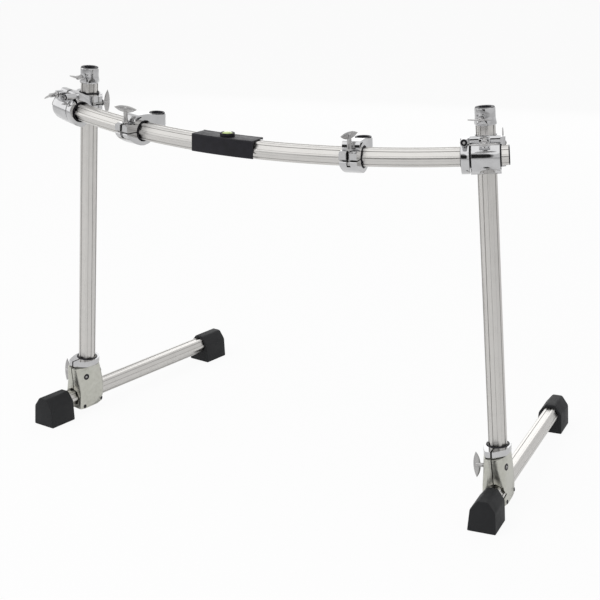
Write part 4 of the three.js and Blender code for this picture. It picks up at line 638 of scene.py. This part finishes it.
# the sleeve: the corner radius grows with height until the hexagon is a circle
sleeve_share = np.array([0, 0.02, 0.05, 0.14, 0.22, 0.3, 0.38, 0.46, 0.6, 0.95, 0.985, 1])
sleeve_inset = np.array([0.5, 0.15, 0, 0, 0, 0, 0, 0, 0, 0, 0.2, 0.6])
roundness = np.clip((sleeve_share - 0.1) / 0.36, 0, 1)
roundness = roundness * roundness * (3 - 2 * roundness)
sleeve_rings = []
for height, drawn, less in zip(sleeve_share, roundness, sleeve_inset):
    flats = HOLDER_FLATS - 2 * less
    corner = TUBE_CORNER + (flats / 2 - ROUND_SHORT - TUBE_CORNER) * drawn
    sleeve_rings.append((flats, corner, HOLDER_FROM + height * (HOLDER_TO - HOLDER_FROM)))
for flats, corner, heights in ((HOLDER_BORE, HOLDER_BORE / 2 - ROUND_SHORT, (HOLDER_TO, LINER_SEAT)),
                               (TUBE_FLATS + STRAIGHT_PLAY, TUBE_CORNER, (POST_ABOVE, HOLDER_FROM))):
    sleeve_rings += [(flats, corner, height) for height in heights]
wing_boss = lathe([[3.8, 19.5, 0], [7, 19.5, 0], [7, 27, 0.8], [3.8, 27, 0.4]], 40)

for side, sign in (("left", -1), ("right", 1)):
    leg, _, rise = leg_seat(sign)
    heights = np.linspace(POST_FOOT, rise + POST_ABOVE, 9)
    rings = [placed(leg, lifted(OUTER, z=z)) for z in heights]
    rings += [placed(leg, lifted(INNER, z=z)) for z in heights[::-1]]
    piece(f"post_{side}_tube", f"leg_{side}", anodised, [(np.stack(rings), True)],
          [f"post_{side}"])

    boss = moved(leg, (0, 0, rise + HOLDER_BOLT_AT), "X", 90)
    rings = [lifted(hexagon(flats, corner, steps=14), z=rise + height)
             for flats, corner, height in sleeve_rings]
    piece(f"post_holder_{side}_sleeve", f"leg_{side}", chrome,
          [(placed(leg, np.stack(rings)), True), (placed(boss, wing_boss), True)], [f"post_holder_{side}"])
    liner = lathe([[SOCKET_BORE, rise + 62.3, 0], [18, rise + 62.3, 0], [18, rise + 90.1, 0],
                   [20.2, rise + 90.1, 0], [20, rise + LINER_TOP, 0.4], [13.6, rise + LINER_TOP, 0.8],
                   [SOCKET_BORE, rise + 89, 0.5]], 72)
    piece(f"holder_insert_{side}_liner", f"leg_{side}", moulded,
          [(placed(leg, liner), True)], [f"holder_insert_{side}"])
    wing_nut(f"holder_{side}_wing", f"holder_bolt_{side}", f"holder_wing_bolt_{side}",
             moved(boss, (0, 0, HOLDER_NUT_SEAT)),
             stem=5, span=50, width=14, reach=8.7)

# LEG BASES
# Split zinc housings round the foot of the post and the floor bar, plated with satin nickel, and the
# chromed lock ring round their neck. A wing bolt on the left draws the halves together.

NECK_TOP, LOCK_UNDER = 144.0, 129.2
BOLT_Y, BOLT_Z = -28, 104
BOLT_SEAT = -26.3

# Satin nickel over shot-blasted zinc: a warm, slightly green grey with soft mottling a few millimetres
# wide.
nickel, tree = started("satin_nickel_on_zinc")
here = add(tree, "ShaderNodeTexCoord")
blast = add(tree, "ShaderNodeTexNoise", None, {
    "Vector": here.outputs["Object"], "Scale": 900, "Detail": 2})
mottle = add(tree, "ShaderNodeTexNoise", None, {
    "Vector": here.outputs["Object"], "Scale": 110, "Detail": 4})
gloss = add(tree, "ShaderNodeMapRange", None, {0: mottle.outputs[0], 1: 0.35, 2: 0.7, 3: 0.28, 4: 0.4})
tint = add(tree, "ShaderNodeValToRGB", None, {0: mottle.outputs[0]})
tint.color_ramp.elements[0].position, tint.color_ramp.elements[0].color = 0.3, linear("bcbcb3")
tint.color_ramp.elements[1].position, tint.color_ramp.elements[1].color = 0.7, linear("cbcbc3")
relief = add(tree, "ShaderNodeBump", None, {
    "Strength": 0.2, "Distance": 0.00006, "Height": blast.outputs[0]})
closed(tree, add(tree, "ShaderNodeBsdfPrincipled", None, {
    "Base Color": tint.outputs[0], "Metallic": 1.0, "Roughness": gloss.outputs[0],
    "Normal": relief.outputs[0]}))

lock_bush = lathe([[21.4, NECK_TOP, 0], [25.6, NECK_TOP, 0], [25.6, NECK_TOP + 1.2, 0.5],
                   [21.4, NECK_TOP + 2.4, 0.5]], 72)
lock_washer = lathe([[24.6, LOCK_UNDER, 0], [28.6, LOCK_UNDER, 0], [28.6, LOCK_UNDER + 0.9, 0],
                     [24.6, LOCK_UNDER + 0.9, 0]], 72)
key_head = lathe([[0, 0.6, 0], [1.4, 0.6, 0], [1.6, 2, 0.2], [2.2, 2, 0.4], [2.5, 1, 0.4], [2.5, -0.6, 0],
                  [0, -0.6, 0]], 36)
key_ring = lathe([[2.4, 0.5, 0], [7.6, 0.9, 0.3], [8.2, -0.6, 0], [2.4, -0.6, 0]], 36)
# painted shade: a black plastic dome put where the cheek has a slot, for the shade inside it
slot_shade_plug = lathe([[0, 1.3, 0], [4.4, 1.1, 0.8], [5.6, -2.6, 0], [0, -2.6, 0]], 28)
for side, sign in (("left", -1), ("right", 1)):
    leg = leg_seat(sign)[0]
    for half in ("left", "right"):
        casting(f"base_{side}_{half}_half", nickel, edge=0.8, sharp=40)
    casting(f"leg_lock_ring_{side}", chrome, edge=1.0)
    for label, grid in (("bush", lock_bush), ("washer", lock_washer)):
        piece(f"leg_lock_{label}_{side}", f"leg_{side}", moulded,
              [(placed(leg, grid), True)])

    # the bolt's key head in a blackened ring, and three dark domes in black plastic that stand in for the
    # shade inside the cheek's slots, a painted shade, each stood on the cheek itself:
    # nine rays in a small circle round its place give the surface's height and slope there
    cheek_mesh = frame["nodes"][f"base_{side}_right_half"].data
    cheek_tree = BVHTree.FromPolygons([vertex.co.copy() for vertex in cheek_mesh.vertices],
                                      [list(face.vertices) for face in cheek_mesh.polygons])
    for label, y, z, near, grid, ring in (
            ("key_head", BOLT_Y, BOLT_Z, 6, key_head, False),
            ("key_ring", BOLT_Y, BOLT_Z, 6, key_ring, True),
            ("front_slot_shade", -33, 24.5, 2.5, slot_shade_plug, False),
            ("rear_slot_shade", 28, 27, 2.5, slot_shade_plug, False),
            ("upper_slot_shade", 30.5, 105, 2.5, slot_shade_plug, False)):
        eyes = np.array([[90, y + near * np.cos(a), z + near * np.sin(a)] for a in np.linspace(0, 6, 9)])
        hits = [cheek_tree.ray_cast(Vector(eye), Vector(-leg[:3, 0]))[:2] for eye in placed(leg, eyes) * MM]
        hits = [hit for hit in hits if hit[0] is not None]
        place = sum((hit[0] for hit in hits), Vector()) / len(hits)
        normal = sum((hit[1] for hit in hits), Vector())
        stance = Matrix.Translation(place / MM) @ normal.to_track_quat("Z", "Y").to_matrix().to_4x4()
        body, slot, finish = f"leg_{side}", "black_plastic", moulded
        if label == "key_head":
            body, slot, finish = f"base_bolt_{side}", "chrome_castings", satin_chrome
        piece(f"base_{side}_{label}", body, finish, [(placed(np.array(stance), grid), ring)])
    wing_nut(f"base_{side}_wing", f"base_bolt_{side}", f"base_{side}_wing_bolt",
             moved(leg, (BOLT_SEAT, BOLT_Y, BOLT_Z), "Y", -90),
             stem=6, span=60, width=16, reach=52)

# FLOOR BARS AND FEET
# The same tube laid on the floor, with a moulded rubber foot at each end: a flat sole, sides that lean
# in, a sloping roof and edges rounded off.

FRONT_REACH, REAR_REACH = 151.2, 524.8
FLOOR_BAR_HEIGHT = 46
FOOT_LENGTH, FOOT_WALL, FOOT_ROUND, FOOT_HALF = 78, 6.7, 2.5, 31.5
FOOT_STEPS = 200  # points round the sole, and as many round the pocket
BAR_SHORT = 7  # from the foot's outer face to the end of the tube in it

# Moulded rubber: dull charcoal with fine dust and a 1 mm speckle.
rubber, tree = started("moulded_black_rubber")
here = add(tree, "ShaderNodeTexCoord")
speck = add(tree, "ShaderNodeTexNoise", None, {
    "Vector": here.outputs["Object"], "Scale": 1000, "Detail": 3})
dust = add(tree, "ShaderNodeTexNoise", None, {"Vector": here.outputs["Object"], "Scale": 40, "Detail": 5})
tint = add(tree, "ShaderNodeValToRGB", None, {0: dust.outputs[0]})
tint.color_ramp.elements[0].position, tint.color_ramp.elements[0].color = 0.3, linear("18191b")
tint.color_ramp.elements[1].position, tint.color_ramp.elements[1].color = 0.75, linear("222325")
gloss = add(tree, "ShaderNodeMapRange", None, {0: dust.outputs[0], 1: 0.3, 2: 0.7, 3: 0.55, 4: 0.72})
relief = add(tree, "ShaderNodeBump", None, {
    "Strength": 0.3, "Distance": 0.0002, "Height": speck.outputs[0]})
closed(tree, add(tree, "ShaderNodeBsdfPrincipled", None, {
    "Base Color": tint.outputs[0], "Roughness": gloss.outputs[0], "IOR": 1.52,
    "Specular IOR Level": 0.3, "Normal": relief.outputs[0]}))


def evenly(outline, count):
    """A closed outline stepped round evenly, by its length, from where it crosses the +u axis."""
    loop = np.concatenate([outline, outline[:1]])
    reach = np.concatenate([[0], np.cumsum(np.linalg.norm(np.diff(loop, axis=0), axis=1))])
    places = np.linspace(0, reach[-1], 2000, endpoint=False)
    fine = np.stack([np.interp(places, reach, column) for column in loop.T], -1)
    angle = np.unwrap(np.arctan2(fine[:, 1], fine[:, 0]))
    fine = np.roll(fine, -int(np.argmin(np.abs(np.mod(angle + np.pi, 2 * np.pi) - np.pi))), 0)
    return fine[np.arange(count) * len(fine) // count]


sole = evenly(softened([[-FOOT_HALF, -FLOOR_BAR_HEIGHT, 3], [FOOT_HALF, -FLOOR_BAR_HEIGHT, 3], [28, 3.7, 4],
                        [11.7, 26, 4], [-11.7, 26, 4], [-28, 3.7, 4]], 6), FOOT_STEPS)
pocket = evenly(hexagon(TUBE_FLATS + STRAIGHT_PLAY, TUBE_CORNER), FOOT_STEPS)
turn = np.linspace(0, np.pi / 2, 6)
drawn, depth = 1 - FOOT_ROUND * (1 - np.sin(turn)) / FOOT_HALF, FOOT_ROUND * (1 - np.cos(turn))
for side, sign in (("left", -1), ("right", 1)):
    bed = moved(leg_seat(sign)[1], (0, 0, FLOOR_BAR_HEIGHT))
    reach = np.linspace(BAR_SHORT - FRONT_REACH, REAR_REACH - BAR_SHORT, 9)
    rings = [placed(bed, lifted(OUTER, y=y)) for y in reach]
    rings += [placed(bed, lifted(INNER, y=y)) for y in reach[::-1]]
    piece(f"floor_bar_{side}_tube", f"floor_bar_{side}", anodised,
          [(np.stack(rings), True)], [f"floor_bar_{side}"])
    for end, at, out in (("front", -FRONT_REACH, -1), ("rear", REAR_REACH, 1)):
        rings = [lifted(sole * size, y=at - out * deep) for size, deep in zip(drawn, depth)]
        rings += [lifted(sole * size, y=at - out * (FOOT_LENGTH - deep))
                  for size, deep in zip(drawn[::-1], depth[::-1])]
        rings += [lifted(pocket, y=at - out * FOOT_LENGTH), lifted(pocket, y=at - out * FOOT_WALL)]
        rings = np.stack(rings)
        rings[..., 2] = np.maximum(rings[..., 2], -FLOOR_BAR_HEIGHT)
        piece(f"{end}_foot_{side}_rubber", f"floor_bar_{side}", rubber,
              [(placed(bed, rings), False)], [f"{end}_foot_{side}"], sharp=30)

# STUDIO
# A white floor that fades into a white surround, and five square soft lamps: a key lamp that metal
# doesn't mirror, one overhead, and weaker ones at the left, behind and at the right.

FLOOR_HALF, FLOOR_LEVEL = 14, -0.0004  # in metres, as all of the studio: a hair under the feet
floor_mesh = bpy.data.meshes.new("studio_floor")
spread = [[x * FLOOR_HALF, y * FLOOR_HALF, FLOOR_LEVEL] for x, y in ((-1, -1), (1, -1), (1, 1), (-1, 1))]
floor_mesh.from_pydata(spread, [], [[0, 1, 2, 3]])
studio_floor = bpy.data.objects.new("studio_floor", floor_mesh)
bpy.context.scene.collection.objects.link(studio_floor)

# White paint: lit by the lamps, and evened out to white where the camera sees it. Metal and glass see
# half of that near the object and a tenth far out in front, where the studio is unlit.
paint, tree = started("white_studio_paint")
path = add(tree, "ShaderNodeLightPath")
mirrored = add(tree, "ShaderNodeMath", {"operation": "MAXIMUM"}, {
    0: path.outputs["Is Glossy Ray"], 1: path.outputs["Is Transmission Ray"]})
here = add(tree, "ShaderNodeTexCoord")
split = add(tree, "ShaderNodeSeparateXYZ", None, {"Vector": here.outputs["Object"]})
fade = add(tree, "ShaderNodeMapRange", None, {0: split.outputs[1], 1: -1.2, 2: -7.0, 3: 0.5, 4: 0.1})
dimmed = add(tree, "ShaderNodeMath", {"operation": "MULTIPLY"}, {
    0: mirrored.outputs[0], 1: fade.outputs[0]})
share = add(tree, "ShaderNodeMath", {"operation": "MULTIPLY_ADD"}, {
    0: path.outputs["Is Camera Ray"], 1: 0.93, 2: dimmed.outputs[0]})
plain = add(tree, "ShaderNodeBsdfDiffuse", None, {"Color": linear("f2f2f2")})
white = add(tree, "ShaderNodeEmission", None, {"Color": (1, 1, 1, 1), "Strength": 1.0})
closed(tree, add(tree, "ShaderNodeMixShader", None, {
    0: share.outputs[0], 1: plain.outputs[0], 2: white.outputs[0]}))
floor_mesh.materials.append(paint)

# Surround: white to the camera and, for the most part, to metal and glass. These also see the unlit end
# of the studio as a dark oval patch in front, low over the floor. Other surfaces are lit by it evenly.
DARK_END = (0.1, -0.97, 0.1)  # its middle, as a direction squeezed by OVAL
OVAL = (1.0, 1.0, 0.8)
world = bpy.data.worlds.new("studio_surround")
bpy.context.scene.world = world
world.use_nodes = True
tree = world.node_tree
tree.nodes.clear()
path = add(tree, "ShaderNodeLightPath")
way = add(tree, "ShaderNodeTexCoord")
squeezed = add(tree, "ShaderNodeVectorMath", {"operation": "MULTIPLY"}, {
    0: way.outputs["Generated"], 1: OVAL})
away = add(tree, "ShaderNodeVectorMath", {"operation": "DISTANCE"}, {
    0: squeezed.outputs[0], 1: DARK_END})
glow = add(tree, "ShaderNodeMapRange", None, {
    0: away.outputs["Value"], 1: 0.31, 2: 0.37, 3: 0.03, 4: 1.0})
glossy = add(tree, "ShaderNodeMath", {"operation": "MAXIMUM"}, {
    0: path.outputs["Is Glossy Ray"], 1: path.outputs["Is Transmission Ray"]})
even = add(tree, "ShaderNodeBackground", None, {"Color": (1, 1, 1, 1), "Strength": 0.42})
metal = add(tree, "ShaderNodeBackground", None, {"Strength": glow.outputs[0]})
white = add(tree, "ShaderNodeBackground", None, {"Color": (1, 1, 1, 1), "Strength": 1.0})
lit = add(tree, "ShaderNodeMixShader", None, {
    0: glossy.outputs[0], 1: even.outputs[0], 2: metal.outputs[0]})
whole = add(tree, "ShaderNodeMixShader", None, {
    0: path.outputs["Is Camera Ray"], 1: lit.outputs[0], 2: white.outputs[0]})
add(tree, "ShaderNodeOutputWorld", None, {"Surface": whole.outputs[0]})

LAMPS_AIM = (0, 0, 0.45)
for name, place, size, power, in_mirrors in (
        ("key_lamp", (-1.3, -3.0, 3.2), 4.2, 64, False), ("overhead_lamp", (0.0, -1.8, 3.6), 5.0, 38, True),
        ("side_lamp", (-3.8, -1.3, 2.0), 3.0, 16, True), ("back_lamp", (-1.2, 3.8, 1.9), 3.6, 34, True),
        ("fill_lamp", (2.8, -0.6, 2.8), 2.4, 6, True)):
    lamp = bpy.data.lights.new(name, "AREA")
    lamp.shape, lamp.size, lamp.energy = "SQUARE", size, power
    holder = bpy.data.objects.new(name, lamp)
    aim = Vector(LAMPS_AIM) - Vector(place)
    holder.matrix_world = Matrix.Translation(place) @ aim.to_track_quat("-Z", "Y").to_matrix().to_4x4()
    holder.visible_camera, holder.visible_glossy = False, in_mirrors
    bpy.context.scene.collection.objects.link(holder)

# Camera: found from the photograph's edges, for a square picture and a 36 mm wide sensor.
CAMERA_AT = (1629.8, -2639.21 + SHIFT_Y, 1408.37)
FOCAL_LENGTH = 88.934
azimuth, pitch, roll = np.radians([29.28, 17.58, 0.42])
back = np.array([np.sin(azimuth) * np.cos(pitch), -np.cos(azimuth) * np.cos(pitch), np.sin(pitch)])
right = np.array([np.cos(azimuth), np.sin(azimuth), 0])
up = np.cross(back, right)
right, up = right * np.cos(roll) + up * np.sin(roll), -right * np.sin(roll) + up * np.cos(roll)
lens = bpy.data.cameras.new("camera")
lens.lens, lens.sensor_width, lens.clip_end = FOCAL_LENGTH, 36, 60
camera = bpy.data.objects.new("camera", lens)
stance = np.eye(4)
stance[:3, :3] = np.stack([right, up, back], -1)
stance[:3, 3] = np.array(CAMERA_AT) * MM
camera.matrix_world = Matrix(stance.tolist())
bpy.context.scene.collection.objects.link(camera)
bpy.context.scene.camera = camera
bpy.context.scene.view_settings.view_transform = "Standard"
